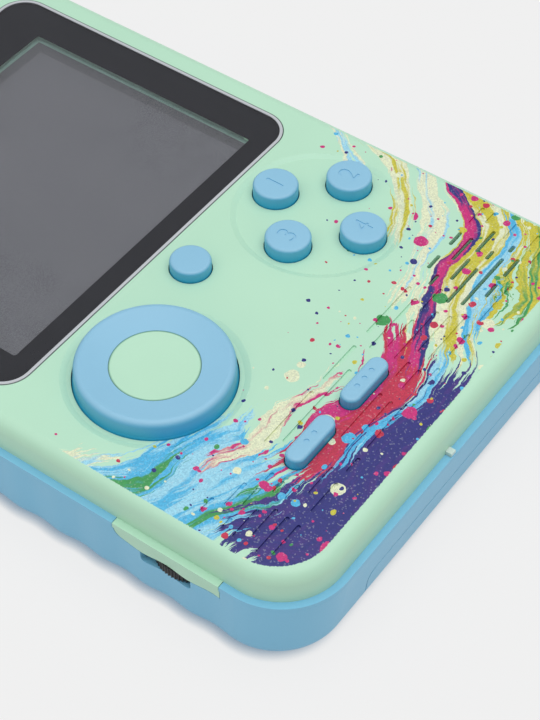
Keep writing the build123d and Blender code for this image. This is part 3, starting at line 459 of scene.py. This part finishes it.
def make_dry_brush():
    """One stroke of a dry brush along an arc: where it covers, and a streaky number for its colour."""
    group, t, entry, leave = new_group(
        "dry_brush",
        [
            ("Radius", NUMBER, 0.0),
            ("Along", NUMBER, 0.0),
            ("Middle", NUMBER, 80.0),
            ("Half width", NUMBER, 5.0),
            ("Start", NUMBER, -120.0),
            ("End", NUMBER, -80.0),
            ("Paint", NUMBER, 1.0),
            ("Seed", NUMBER, 0.0),
        ],
        [("Cover", NUMBER), ("Shade", NUMBER)],
    )
    radius, along = entry["Radius"], entry["Along"]
    streaks = streak_place(t, radius, along, STREAK_PER_MM, entry["Seed"])
    off = t.math("DIVIDE", t.math("SUBTRACT", radius, entry["Middle"]), entry["Half width"])
    side = t.math("SUBTRACT", 1.0, t.math("POWER", t.math("ABSOLUTE", off), STROKE_SHOULDER), clamp=True)
    entering = t.rise(along, entry["Start"], t.math("ADD", entry["Start"], STROKE_ENTRY))
    leaving = t.rise(along, t.math("SUBTRACT", entry["End"], STROKE_EXIT), entry["End"])
    field = t.math("MULTIPLY", side, t.math("SUBTRACT", entering, leaving, clamp=True))
    field = t.math("MULTIPLY", field, entry["Paint"])
    dry = t.spread(t.noise(streaks, 1.0, 4.0, 0.62), *NOISE_BAND, 0.0, 1.0)
    t.link(t.rise(t.math("SUBTRACT", field, dry), 0.0, COVER_BLUR), leave["Cover"])
    shades = streak_place(t, radius, along, SHADE_PER_MM, t.math("ADD", entry["Seed"], SHADE_SEED))
    t.link(t.rise(t.noise(shades, 1.0, 3.0, 0.6), *SHADE_BAND), leave["Shade"])
    return group


dry_brush = make_dry_brush()


def brush_strokes(t, base, flat, x, y):
    """Base colour with every stroke over it, where they cover, and how far from the arcs' centre it is."""
    sway = t.math("SUBTRACT", t.noise(flat, SWAY_PER_MM, 1.0, dimensions="2D"), 0.5)
    curl = t.math("SUBTRACT", t.noise(flat, CURL_PER_MM, 3.0, dimensions="2D"), 0.5)
    far = t.vector_math("LENGTH", t.vector_math("SUBTRACT", flat, ARC_CENTRE))
    far = t.math("ADD", far, t.math("MULTIPLY", sway, SWAY))
    far = t.math("ADD", far, t.math("MULTIPLY", curl, CURL))
    angle = t.math("ARCTAN2", t.math("SUBTRACT", y, ARC_CENTRE[1]), t.math("SUBTRACT", x, ARC_CENTRE[0]))
    along = t.math("MULTIPLY", angle, ARC_SCALE)
    colour = base
    painted = 0.0
    for number, (middle, half, first, last, paint, one, other) in enumerate(STROKES):
        values = {
            "Radius": far,
            "Along": along,
            "Middle": middle,
            "Half width": half,
            "Start": math.radians(first) * ARC_SCALE,
            "End": math.radians(last) * ARC_SCALE,
            "Paint": paint,
            "Seed": STROKE_SEED * number,
        }
        stroke = t.use(dry_brush, values)
        colour = t.mix(stroke["Cover"], colour, t.mix(stroke["Shade"], one, other))
        painted = t.math("MAXIMUM", painted, stroke["Cover"])
    return colour, painted, far


def drops(t, place, spacing, seed, thinning):
    """Round drops: their mask and a random number for their paint. Fewer drops where thinning is high."""
    moved = t.vector_math("ADD", place, tuple(seed * share for share in DROP_SHIFT))
    distance, random = t.cells(moved, 1 / spacing, DROP_SCATTER)
    size, chance, paint = t.split(random)
    radius = t.spread(size, 0.0, 1.0, *DROP_SHARE)
    drop = t.fall(distance, t.math("SUBTRACT", radius, DROP_BLUR), radius)
    return t.math("MULTIPLY", drop, t.math("GREATER_THAN", chance, thinning)), paint


def glitter(t, colour, flat):
    """Colour with the fine bright and dark flakes of glitter ink."""
    flakes = t.split(t.cells(flat, FLAKES_PER_MM)[1])
    colour = t.mix(1.0, colour, t.mix(flakes[0], DARK_FLAKE, PALE_FLAKE), "MULTIPLY")
    bright = t.math("GREATER_THAN", flakes[1], BRIGHT_FLAKE_START)
    return t.mix(t.math("MULTIPLY", bright, BRIGHT_FLAKE_COVER), colour, BRIGHT_FLAKE)


def paint_face(t, base):
    """Base colour with the print over it on the face, and painted shade: darker seams round the screen and
    on the wall under its window.
    """
    x, y, z = t.split(t.object_mm())
    flat = t.join(x, y, 0.0)
    colour, painted, far = brush_strokes(t, base, flat, x, y)
    rough = t.noise(flat, RAGGED_PER_MM, colour=True, dimensions="2D")
    ragged = t.vector_math("ADD", flat, t.vector_math("MULTIPLY", rough, RAGGED_BY))
    for spacing, seed, first, full, thinnest in DROPS:
        thinning = t.spread(far, first, full, 1.0, thinnest)
        drop, paint = drops(t, ragged, spacing, seed, thinning)
        colour = t.mix(drop, colour, t.bands(paint, DROP_PAINTS))
        painted = t.math("MAXIMUM", painted, drop)
    on_face = t.rise(z, FACE_Z - FACE_SKIN, FACE_Z - FACE_SKIN + FACE_BLUR)
    below = t.fall(y, PRINT_FULL_Y, PRINT_START_Y)
    shown = t.math("MULTIPLY", t.math("MULTIPLY", on_face, print_cover(t, x, y)), below)
    glittering = t.mix(t.math("MULTIPLY", painted, GLITTER_COVER), colour, glitter(t, colour, flat))
    printed = t.mix(shown, base, glittering)
    # Painted shade round the screen, over the print
    return screen_shade(t, printed, x, y, z, on_face)


TRIM_LOW, TRIM_HIGH = box_mm("screen_trim")
TRIM_MIDDLE_Y = (TRIM_LOW.y + TRIM_HIGH.y) / 2
TRIM_HALF_LENGTH = (TRIM_HIGH.y - TRIM_LOW.y) / 2
TRIM_CORNER = 5.1
FILM_TOP = box_mm("screen_mask")[1].z
# Painted shade: the dark colour of the seam round the silver trim
SEAM_SHADE = linear("3F524E")
SEAM_SHADE_START = 0.08
SEAM_SHADE_END = 0.26
WINDOW_INSET = 1.0
WINDOW_BLUR = 0.5
WALL_DEPTH = 0.1
WALL_BLUR = 0.05
# Painted shade: darker grey-green for the wall under the window's edge
WINDOW_WALL_SHADE = linear("7F9892")


def screen_shade(t, colour, x, y, z, on_face):
    """Painted shade: a dark line in the seam round the silver trim, and darker grey-green on the wall under
    the edge of the window.
    """
    across = t.math("SUBTRACT", t.math("ABSOLUTE", x), TRIM_HIGH.x - TRIM_CORNER)
    from_middle = t.math("ABSOLUTE", t.math("SUBTRACT", y, TRIM_MIDDLE_Y))
    along = t.math("SUBTRACT", from_middle, TRIM_HALF_LENGTH - TRIM_CORNER)
    out = t.join(t.math("MAXIMUM", across, 0.0), t.math("MAXIMUM", along, 0.0), 0.0)
    seam_shade = t.fall(t.vector_math("LENGTH", out), TRIM_CORNER + SEAM_SHADE_START, TRIM_CORNER + SEAM_SHADE_END)
    # Painted shade in the seam round the trim
    colour = t.mix(t.math("MULTIPLY", seam_shade, on_face), colour, SEAM_SHADE)
    inside = t.fall(t.math("MAXIMUM", across, along), -WINDOW_INSET, WINDOW_BLUR - WINDOW_INSET)
    deep = t.fall(z, FILM_TOP - WALL_DEPTH, FILM_TOP - WALL_DEPTH + WALL_BLUR)
    # Painted shade on the wall under the window's edge
    return t.mix(t.math("MULTIPLY", inside, deep), colour, WINDOW_WALL_SHADE)


# Finishes that change a plastic's colour, some of them with painted shade

ROCKER_LOW, ROCKER_HIGH = box_mm("dpad_ring")
ROCKER_MIDDLE = (ROCKER_LOW + ROCKER_HIGH) / 2
CAP_RADIUS = 6.9
CAP_SHADE_WIDTH = 0.28
CAP_SHADE_BLUR = 0.2
CAP_SHADE_COVER = 0.75
# Painted shade: darker green where the middle disc meets the rocker
CAP_SEAM_SHADE = linear("5E9C84")


def cap_seam_shade(t, colour):
    """Painted shade: a darker line where the middle disc meets the rocker."""
    place = t.split(t.object_mm())
    off_x = t.math("SUBTRACT", place[0], ROCKER_MIDDLE.x)
    off_y = t.math("SUBTRACT", place[1], ROCKER_MIDDLE.y)
    reach = t.vector_math("LENGTH", t.join(off_x, off_y, 0.0))
    shade_start = CAP_RADIUS - CAP_SHADE_WIDTH
    seam_shade = t.rise(reach, shade_start, shade_start + CAP_SHADE_BLUR)
    # Painted shade round the rim of the middle disc
    return t.mix(t.math("MULTIPLY", seam_shade, CAP_SHADE_COVER), colour, CAP_SEAM_SHADE)


TRACK_BLOCKS_PER_MM = 0.12
TRACKS_PER_MM = 1.1
TRACK_BAND = (0.45, 0.52)
TRACK_COVER = 0.55
BARE_BLOCK_SHARE = 0.25
BOARD_HOLES_PER_MM = 0.42
BOARD_HOLE_SCATTER = 0.8
PAD_RADIUS = 0.36
BOARD_HOLE_RADIUS = 0.16
BOARD_BLUR = 0.04
BOARD_TRACK = linear("3C9460")
BOARD_PAD = linear("C9A95C")
BOARD_HOLE = linear("14261B")


def board_face(t, colour):
    """Solder mask with copper tracks under it, and plated holes."""
    place = t.split(t.object_mm())
    x, y = place[0], place[1]
    flat = t.join(x, y, 0.0)
    turn, shift = t.split(t.cells(flat, TRACK_BLOCKS_PER_MM, distance="MANHATTAN")[1])[:2]
    lane = t.mix(t.math("GREATER_THAN", turn, 0.5), t.join(x, x, x), t.join(y, y, y))
    wave = t.math("FRACT", t.math("MULTIPLY", t.split(lane)[0], TRACKS_PER_MM))
    covered = t.math("GREATER_THAN", shift, BARE_BLOCK_SHARE)
    track = t.math("MULTIPLY", t.rise(wave, *TRACK_BAND), covered)
    colour = t.mix(t.math("MULTIPLY", track, TRACK_COVER), colour, BOARD_TRACK)
    nearest = t.cells(flat, BOARD_HOLES_PER_MM, BOARD_HOLE_SCATTER)[0]
    far = t.math("MULTIPLY", nearest, 1 / BOARD_HOLES_PER_MM)
    colour = t.mix(t.fall(far, PAD_RADIUS, PAD_RADIUS + BOARD_BLUR), colour, BOARD_PAD)
    hole = t.fall(far, BOARD_HOLE_RADIUS, BOARD_HOLE_RADIUS + BOARD_BLUR)
    return t.mix(hole, colour, BOARD_HOLE)


RIBBON_TRACKS_PER_MM = 2.0
RIBBON_TRACK_BAND = (0.42, 0.5)
RIBBON_TRACK_COVER = 0.7
RIBBON_TRACK = linear("7A4316")


def ribbon_tracks(t, colour):
    """Copper tracks along the flexible tail."""
    x = t.split(t.object_mm())[0]
    wave = t.math("FRACT", t.math("MULTIPLY", x, RIBBON_TRACKS_PER_MM))
    track = t.rise(wave, *RIBBON_TRACK_BAND)
    return t.mix(t.math("MULTIPLY", track, RIBBON_TRACK_COVER), colour, RIBBON_TRACK)


WRAP_CREASE = linear("5C8CC8")
CREASE_STRETCH = (0.9, 0.16, 0.9)
CREASES_PER_MM = 0.7
CREASE_BAND = (0.35, 0.65)
CREASE_COVER = 0.35
WRAP_OVERLAP = linear("4C7CB8")
OVERLAP_START = 4.0
OVERLAP_END = 9.0
OVERLAP_BLUR = 0.1
OVERLAP_COVER = 0.4


def wrap_creases(t, colour):
    """Shrink wrap: soft creases and a paler overlap along the pack."""
    place = t.object_mm()
    creased = t.noise(t.vector_math("MULTIPLY", place, CREASE_STRETCH), CREASES_PER_MM, 3.0)
    colour = t.mix(t.spread(creased, *CREASE_BAND, 0.0, CREASE_COVER), colour, WRAP_CREASE)
    x = t.split(place)[0]
    starting = t.rise(x, OVERLAP_START, OVERLAP_START + OVERLAP_BLUR)
    overlap = t.math("MULTIPLY", starting, t.fall(x, OVERLAP_END, OVERLAP_END + OVERLAP_BLUR))
    return t.mix(t.math("MULTIPLY", overlap, OVERLAP_COVER), colour, WRAP_OVERLAP)


# Stretch, cover and colour of the fibres that lie each way
FIBRES = [
    ((1.0, 6.0, 3.0), 0.4, linear("78787A")),
    ((6.0, 1.0, 3.0), 0.35, linear("2C2C2E")),
]
FIBRES_PER_MM = 1.6
FIBRE_BAND = (0.62, 0.68)


def paper_fibres(t, colour):
    """Pressed paper with short pale and dark fibres."""
    place = t.object_mm()
    for stretch, cover, shade in FIBRES:
        fibre = t.rise(t.noise(t.vector_math("MULTIPLY", place, stretch), FIBRES_PER_MM), *FIBRE_BAND)
        colour = t.mix(t.math("MULTIPLY", fibre, cover), colour, shade)
    return colour


CHIP_TOP = linear("5A5C60")
CHIP_LEVEL_BAND = (0.8, 0.95)
GRIT_PER_MM = 5.0
GRIT_BAND = (0.35, 0.65)
GRIT_COVER = (0.1, 0.35)


def chip_top(t, colour):
    """Moulded package with a paler, gritty top."""
    level = t.rise(t.math("ABSOLUTE", t.upward()), *CHIP_LEVEL_BAND)
    grit = t.spread(t.noise(t.object_mm(), GRIT_PER_MM), *GRIT_BAND, *GRIT_COVER)
    return t.mix(t.math("MULTIPLY", level, grit), colour, CHIP_TOP)


WELL_LOW = 17.6
WELL_HIGH = 20.2
STEEP_BAND = (0.25, 0.9)
LEAST_WELL_SHADE = 0.6
# Painted shade: deeper blue down the sides of the buttons
WELL_SHADE_BLUE = linear("2AAAD6")


def well_shadow(t, colour):
    """Painted shade: deeper blue down the sides of a button, where they stand in their wells."""
    z = t.split(t.object_mm())[2]
    steep = t.fall(t.upward(), *STEEP_BAND)
    deep = t.spread(t.fall(z, WELL_LOW, WELL_HIGH), 0.0, 1.0, LEAST_WELL_SHADE, 1.0)
    # Painted shade, strongest low on the steep sides
    return t.mix(t.math("MULTIPLY", steep, deep), colour, WELL_SHADE_BLUE)


# Metal

LINES_PER_MM = 6.0
LINE_STRETCH = (0.06, 1.0, 1.0)
LINE_DEPTH = 0.004
LINE_GLOSS = (-0.06, 0.08)
LINE_BUMP = 0.4
STAIN_PER_MM = 0.5
STAIN_GLOSS_BAND = (0.35, 0.7)
STAIN_BAND = (0.52, 0.72)
STAIN_GLOSS = (-0.02, 0.08)
STAIN_COVER = 0.5


def make_brushing():
    """Fine lines of drawn metal: a gloss, a height and duller patches."""
    group, t, entry, leave = new_group(
        "brushing",
        [("Gloss", NUMBER, 0.3)],
        [("Roughness", NUMBER), ("Height", NUMBER), ("Stain", NUMBER)],
    )
    place = t.object_mm()
    line = t.noise(t.scale(t.vector_math("MULTIPLY", place, LINE_STRETCH), LINES_PER_MM), 1.0)
    stain = t.noise(place, STAIN_PER_MM, 3.0)
    rough = t.math("ADD", entry["Gloss"], t.spread(line, *NOISE_BAND, *LINE_GLOSS))
    rough = t.math("ADD", rough, t.spread(stain, *STAIN_GLOSS_BAND, *STAIN_GLOSS), clamp=True)
    t.link(rough, leave["Roughness"])
    t.link(line, leave["Height"])
    t.link(t.rise(stain, *STAIN_BAND), leave["Stain"])
    return group


brushing = make_brushing()


def metal(name, colour, dull, gloss):
    """Brushed metal with duller patches."""
    t, shader = new_material(name)
    lines = t.use(brushing, {"Gloss": gloss})
    stained = t.math("MULTIPLY", lines["Stain"], STAIN_COVER)
    t.link(t.mix(stained, colour, dull), shader.inputs["Base Color"])
    t.link(lines["Roughness"], shader.inputs["Roughness"])
    shader.inputs["Metallic"].default_value = 1.0
    t.link(bump(t, lines["Height"], LINE_BUMP, LINE_DEPTH), shader.inputs["Normal"])


# Screen

INK = linear("26272D")
PALE_INK = linear("2B2C32")
INK_CLOUD_PER_MM = 0.08
INK_SHEEN = 0.05
INK_DULLNESS = (0.28, 0.36)
INK_DULLNESS_PER_MM = 0.3
LENS_TINT = (0.97, 0.98, 0.98, 1)
LENS_INDEX = 1.49
GLASS_GREY = linear("585960")
GLASS_BORDER = linear("46474D")
# Painted highlight: pale greenish band along the glass's right and far edges
GLASS_RIM_HIGHLIGHT = linear("6F8A84")
FIELD_MIDDLE = (-1.0, 19.4)
FIELD_HALF_SIZE = (28.45, 21.7)
FIELD_BLUR = 0.12
RIM_HIGHLIGHT_START = (29.3, 43.0)
RIM_HIGHLIGHT_BLUR = 0.2


def printed_film():
    """Black ink behind the lens, with hardly a sheen of its own."""
    t, shader = new_material("black_film")
    place = t.object_mm()
    t.link(t.mix(t.noise(place, INK_CLOUD_PER_MM), INK, PALE_INK), shader.inputs["Base Color"])
    shader.inputs["Specular IOR Level"].default_value = INK_SHEEN
    dullness = t.spread(t.noise(place, INK_DULLNESS_PER_MM), 0.0, 1.0, *INK_DULLNESS)
    t.link(dullness, shader.inputs["Roughness"])


def off_middle(t, value, middle, half):
    """How far a value lies past a half size, counted from a middle."""
    return t.math("SUBTRACT", t.math("ABSOLUTE", t.math("SUBTRACT", value, middle)), half)


def screen_glass():
    """Grey liquid crystal glass with a darker border round its field, and a pale greenish painted highlight
    along its right and far edges.
    """
    t, shader = new_material("lcd_grey")
    place = t.split(t.object_mm())
    x, y = place[0], place[1]
    across = off_middle(t, x, FIELD_MIDDLE[0], FIELD_HALF_SIZE[0])
    along = off_middle(t, y, FIELD_MIDDLE[1], FIELD_HALF_SIZE[1])
    border = t.rise(t.math("MAXIMUM", across, along), -FIELD_BLUR, FIELD_BLUR)
    skin = t.use(moulded_skin, {"Colour": GLASS_GREY, "Gloss": 0.3, "Grain size": 0.2, "Wear": 0.0})
    right_highlight = t.rise(x, RIM_HIGHLIGHT_START[0], RIM_HIGHLIGHT_START[0] + RIM_HIGHLIGHT_BLUR)
    far_highlight = t.rise(y, RIM_HIGHLIGHT_START[1], RIM_HIGHLIGHT_START[1] + RIM_HIGHLIGHT_BLUR)
    shade = t.mix(border, skin["Colour"], GLASS_BORDER)
    # Painted highlight along the right and far edges
    shade = t.mix(t.math("MAXIMUM", right_highlight, far_highlight), shade, GLASS_RIM_HIGHLIGHT)
    t.link(shade, shader.inputs["Base Color"])
    t.link(skin["Roughness"], shader.inputs["Roughness"])


def clear_lens():
    """Clear lens that lets shadow rays pass."""
    t, shader = new_material("clear_lens")
    shader.inputs["Base Color"].default_value = LENS_TINT
    skin = t.use(moulded_skin, {"Colour": (1, 1, 1, 1), "Gloss": 0.05, "Grain size": 0.4, "Wear": 0.1})
    t.link(skin["Roughness"], shader.inputs["Roughness"])
    shader.inputs["Transmission Weight"].default_value = 1.0
    shader.inputs["IOR"].default_value = LENS_INDEX
    blend = t.node("ShaderNodeMixShader")
    t.link(t.node("ShaderNodeLightPath").outputs["Is Shadow Ray"], blend.inputs[0])
    t.link(shader.outputs[0], blend.inputs[1])
    t.link(t.node("ShaderNodeBsdfTransparent").outputs[0], blend.inputs[2])
    t.link(blend.outputs[0], t.tree.nodes["Material Output"].inputs["Surface"])


# Every finish, put on the nodes by the slots in the record

# The finishes of mint_shell, mint_cap and blue_button also paint shade into their colour
plastic("mint_shell", MINT, 0.42, wear=0.25, finish=paint_face)
plastic("mint_cap", MINT, wear=0.25, finish=cap_seam_shade)
plastic("blue_shell", linear("81C5E6"), 0.42, wear=0.35)
plastic("blue_button", BLUE, wear=0.2, finish=well_shadow)
plastic("black_plastic", linear("1C1D1F"), 0.5)
plastic("silver_trim", linear("C4C8CD"), 0.3, grain=0.08, grain_depth=0.002)
plastic("white_tray", linear("E6E6E2"), 0.5)
plastic("amber_film", linear("C07A28"), 0.3, finish=ribbon_tracks)
plastic("grey_rubber", linear("8C8F90"), 0.7, grain=0.12, wear=1.0)
plastic("green_board", linear("1E6B3C"), 0.35, finish=board_face)
plastic("black_chip", linear("202124"), 0.55, grain=0.1, finish=chip_top)
plastic("grey_paper", linear("4A4A4C"), 0.8, grain=0.15, grain_depth=0.02, finish=paper_fibres)
plastic("wire_cover", linear("B02A26"))
plastic("pack_wrap", linear("2E5E9E"), 0.28, grain=1.2, grain_depth=0.02, finish=wrap_creases)
plastic("pale_pipe", linear("D4E6E0"), 0.25, wear=0.1)
metal("steel", linear("C4C7C9"), linear("8F9294"), 0.3)
metal("contact_brass", linear("D9B65A"), linear("9A7A34"), 0.28)
clear_lens()
printed_film()
screen_glass()

for part in frame["record"]["subparts"]:
    for holder in frame["nodes"][part["node"]].material_slots:
        holder.material = FINISHES[part["material_slot"]]


# Pieces that stand for a node

WELD_REACH = 0.0005
FLAT_ANGLE = math.radians(0.4)
SHARP_ANGLE = math.radians(38)


def plain_mesh(piece):
    """Plain mesh of an object with its modifiers applied."""
    layer = bpy.context.evaluated_depsgraph_get()
    return bpy.data.meshes.new_from_object(piece.evaluated_get(layer))


def weld(mesh):
    """Merges the doubled points of a mesh, and the flat faces that meet."""
    made = bmesh.new()
    made.from_mesh(mesh)
    bmesh.ops.remove_doubles(made, verts=made.verts, dist=WELD_REACH * MM)
    bmesh.ops.dissolve_limit(made, angle_limit=FLAT_ANGLE, verts=made.verts, edges=made.edges)
    made.to_mesh(mesh)
    made.free()


def bare_copy(node):
    """Welded copy of a node's mesh, without its stored normals."""
    mesh = frame["nodes"][node].data.copy()
    if "custom_normal" in mesh.attributes:
        mesh.attributes.remove(mesh.attributes["custom_normal"])
    weld(mesh)
    return mesh


def new_piece(name, mesh):
    piece = bpy.data.objects.new(name, mesh)
    bpy.context.scene.collection.objects.link(piece)
    return piece


def dress(mesh, finish):
    """Shades a mesh smooth up to its sharp edges, in one finish."""
    mesh.shade_smooth()
    mesh.set_sharp_from_angle(angle=SHARP_ANGLE)
    mesh.materials.clear()
    mesh.materials.append(FINISHES[finish])


# Marks sunk into the tops of the buttons: plain digits, and rows of dots

MARK_DEPTH = 0.12
DIGIT_SIZE = 4.6
DIGIT_SMOOTHNESS = 6
DOT_PITCH = 1.9
DOT_RADIUS = 0.42
DOT_SIDES = 24
MARKED_DIGITS = {"button_top": "1", "button_right": "2", "button_left": "3", "button_bottom": "4"}
MARKED_DOTS = {"button_start": 3, "button_select": 2}


def top_of_round(button):
    """Middle of a round button's top. Its flange has a key on the right side alone."""
    low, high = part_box(button)
    return Vector((low.x + (high.y - low.y) / 2, (low.y + high.y) / 2, high.z))


def top_of_pill(button):
    """Middle of a pill-shaped button's top."""
    low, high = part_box(button)
    return Vector(((low.x + high.x) / 2, (low.y + high.y) / 2, high.z))


def digit_cutter(digit, middle):
    """Thin digit that reaches the mark's depth below the top of a button."""
    text = bpy.data.curves.new("digit_outline", "FONT")
    text.body = digit
    text.size = DIGIT_SIZE * MM
    text.align_x = "CENTER"
    text.align_y = "CENTER"
    text.extrude = MARK_DEPTH * MM
    text.resolution_u = DIGIT_SMOOTHNESS
    outline = new_piece("digit_outline", text)
    mesh = plain_mesh(outline)
    bpy.data.objects.remove(outline)
    weld(mesh)
    mesh.transform(Matrix.Translation(middle))
    return new_piece("digit_cutter", mesh)


ROW_INPUTS = [
    ("Geometry", "NodeSocketGeometry"),
    ("Count", "NodeSocketInt"),
    ("Pitch", NUMBER),
    ("Radius", NUMBER),
    ("Height", NUMBER),
    ("Middle", "NodeSocketVector"),
    ("Material", "NodeSocketMaterial"),
]


def make_dot_row():
    """Geometry node tree: a row of round dots."""
    tree = bpy.data.node_groups.new("dot_row", "GeometryNodeTree")
    for name, kind in ROW_INPUTS:
        tree.interface.new_socket(name, in_out="INPUT", socket_type=kind)
    tree.interface.new_socket("Geometry", in_out="OUTPUT", socket_type="NodeSocketGeometry")
    t = Tree(tree)
    entry = t.node("NodeGroupInput").outputs
    row = t.node("GeometryNodeMeshLine", mode="OFFSET")
    t.link(entry["Count"], row.inputs["Count"])
    half = t.math("MULTIPLY", t.math("SUBTRACT", entry["Count"], 1.0), -0.5)
    first = t.join(t.math("MULTIPLY", half, entry["Pitch"]), 0.0, 0.0)
    t.link(t.vector_math("ADD", entry["Middle"], first), row.inputs["Start Location"])
    t.link(t.join(entry["Pitch"], 0.0, 0.0), row.inputs["Offset"])
    dot = t.node("GeometryNodeMeshCylinder")
    dot.inputs["Vertices"].default_value = DOT_SIDES
    t.link(entry["Radius"], dot.inputs["Radius"])
    t.link(entry["Height"], dot.inputs["Depth"])
    dots = t.node("GeometryNodeInstanceOnPoints")
    t.link(row.outputs["Mesh"], dots.inputs["Points"])
    t.link(dot.outputs["Mesh"], dots.inputs["Instance"])
    real = t.node("GeometryNodeRealizeInstances")
    t.link(dots.outputs["Instances"], real.inputs["Geometry"])
    dressed = t.node("GeometryNodeSetMaterial")
    t.link(real.outputs["Geometry"], dressed.inputs["Geometry"])
    t.link(entry["Material"], dressed.inputs["Material"])
    t.link(dressed.outputs["Geometry"], t.node("NodeGroupOutput").inputs["Geometry"])
    return tree


dot_row = make_dot_row()


def row_cutter(count, middle):
    """Row of round dots that reach the mark's depth below the top of a button."""
    piece = new_piece("row_cutter", bpy.data.meshes.new("row_cutter"))
    row = piece.modifiers.new("row", "NODES")
    row.node_group = dot_row
    values = {
        "Count": count,
        "Pitch": DOT_PITCH * MM,
        "Radius": DOT_RADIUS * MM,
        "Height": 2 * MARK_DEPTH * MM,
        "Middle": tuple(middle),
        "Material": FINISHES["blue_button"],
    }
    for socket in dot_row.interface.items_tree:
        if socket.in_out == "INPUT" and socket.name in values:
            row[socket.identifier] = values[socket.name]
    piece.update_tag()
    mesh = plain_mesh(piece)
    bpy.data.objects.remove(piece)
    return new_piece("row_cutter", mesh)


def sink_mark(button, cutter):
    """Copy of a button's node with the cutter's shape sunk into its top."""
    piece = new_piece(button + "_marked", bare_copy(button))
    cut = piece.modifiers.new("mark", "BOOLEAN")
    cut.operation = "DIFFERENCE"
    cut.solver = "EXACT"
    cut.use_self = True
    cut.object = cutter
    piece.data = plain_mesh(piece)
    piece.modifiers.clear()
    bpy.data.objects.remove(cutter)
    dress(piece.data, "blue_button")
    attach(piece, button)
    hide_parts(button)


for button, digit in MARKED_DIGITS.items():
    sink_mark(button, digit_cutter(digit, top_of_round(button)))
for button, count in MARKED_DOTS.items():
    sink_mark(button, row_cutter(count, top_of_pill(button)))


# Lens

LENS_BOND = 0.02


def bond_lens_to_ink():
    """Copy of the lens whose underside lies just inside the ink, with no air between."""
    mesh = bare_copy("screen_lens")
    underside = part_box("screen_lens")[0].z
    for point in mesh.vertices:
        if point.co.z < underside + LENS_BOND * MM:
            point.co.z -= LENS_BOND * MM
    dress(mesh, "clear_lens")
    lens = new_piece("lens_bonded_to_ink", mesh)
    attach(lens, "chassis")
    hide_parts("screen_lens")


bond_lens_to_ink()


# Floor and light, in metres

FLOOR_LOW = (-2.5, -4.5)
FLOOR_HIGH = (4.5, 2.5)
FLOOR_DROP = 0.02 * MM
FLOOR_PAPER = (0.80, 0.80, 0.80, 1)
FLOOR_SHOWN = (0.885, 0.885, 0.885, 1)
FLOOR_SHADOW = (0.22, 0.32, 0.42, 1)
FLOOR_DULLNESS = 0.9
FLOOR_SHEEN = 0.1
SHOWN_SHARE = 0.88
SHADOW_REACH = 2.0 * MM
SHADOW_SIDE = (0.42, -0.56, 0.71)
OPEN_SKY_BAND = (0.26, 0.88)
SHADOW_SAMPLES = 12
WORLD_STRENGTH = 0.42
LAMP_AIM = Vector((0, 0, 0.01))

# Name, place, size and power
LAMPS = [
    ("overhead", Vector((0.06, -0.14, 0.9)), 1.0, 5.4),
    ("fill", Vector((-0.6, 0.4, 0.9)), 0.8, 1.6),
]


def floor_paper():
    """Pale paper: even where the camera sees it, with a soft shadow close to the console."""
    t, shader = new_material("floor_paper")
    shader.inputs["Base Color"].default_value = FLOOR_PAPER
    shader.inputs["Roughness"].default_value = FLOOR_DULLNESS
    shader.inputs["Specular IOR Level"].default_value = FLOOR_SHEEN
    near = t.node("ShaderNodeAmbientOcclusion", samples=SHADOW_SAMPLES)
    near.inputs["Distance"].default_value = SHADOW_REACH
    t.link(t.join(*SHADOW_SIDE), near.inputs["Normal"])
    open_sky = t.rise(near.outputs["AO"], *OPEN_SKY_BAND, smooth=False)
    shown = t.node("ShaderNodeEmission")
    t.link(t.mix(open_sky, FLOOR_SHADOW, FLOOR_SHOWN), shown.inputs["Color"])
    path = t.node("ShaderNodeLightPath").outputs
    seen = t.math("MAXIMUM", path["Is Camera Ray"], path["Is Glossy Ray"])
    seen = t.math("MAXIMUM", seen, path["Is Transmission Ray"])
    blend = t.node("ShaderNodeMixShader")
    t.link(t.math("MULTIPLY", seen, SHOWN_SHARE), blend.inputs[0])
    t.link(shader.outputs[0], blend.inputs[1])
    t.link(shown.outputs[0], blend.inputs[2])
    t.link(blend.outputs[0], t.tree.nodes["Material Output"].inputs["Surface"])


def make_floor():
    """Plain floor, a hair below the console's back."""
    left, near = FLOOR_LOW
    right, far = FLOOR_HIGH
    corners = [(x, y, -FLOOR_DROP) for x, y in ((left, near), (right, near), (right, far), (left, far))]
    mesh = bpy.data.meshes.new("floor")
    mesh.from_pydata(corners, [], [(0, 1, 2, 3)])
    mesh.materials.append(FINISHES["floor_paper"])
    floor = new_piece("floor", mesh)


def make_lamp(name, place, size, power):
    """Soft square lamp."""
    data = bpy.data.lights.new(name, "AREA")
    data.shape = "SQUARE"
    data.size = size
    data.energy = power
    lamp = bpy.data.objects.new(name, data)
    lamp.location = place
    lamp.rotation_euler = (LAMP_AIM - place).to_track_quat("-Z", "Y").to_euler()
    bpy.context.scene.collection.objects.link(lamp)


def make_world():
    """Even white surroundings."""
    world = bpy.data.worlds.new("studio")
    world.use_nodes = True
    back = world.node_tree.nodes["Background"]
    back.inputs["Color"].default_value = (1, 1, 1, 1)
    back.inputs["Strength"].default_value = WORLD_STRENGTH
    bpy.context.scene.world = world


floor_paper()
make_floor()
make_world()
for lamp in LAMPS:
    make_lamp(*lamp)

bpy.context.scene.view_settings.view_transform = "Standard"
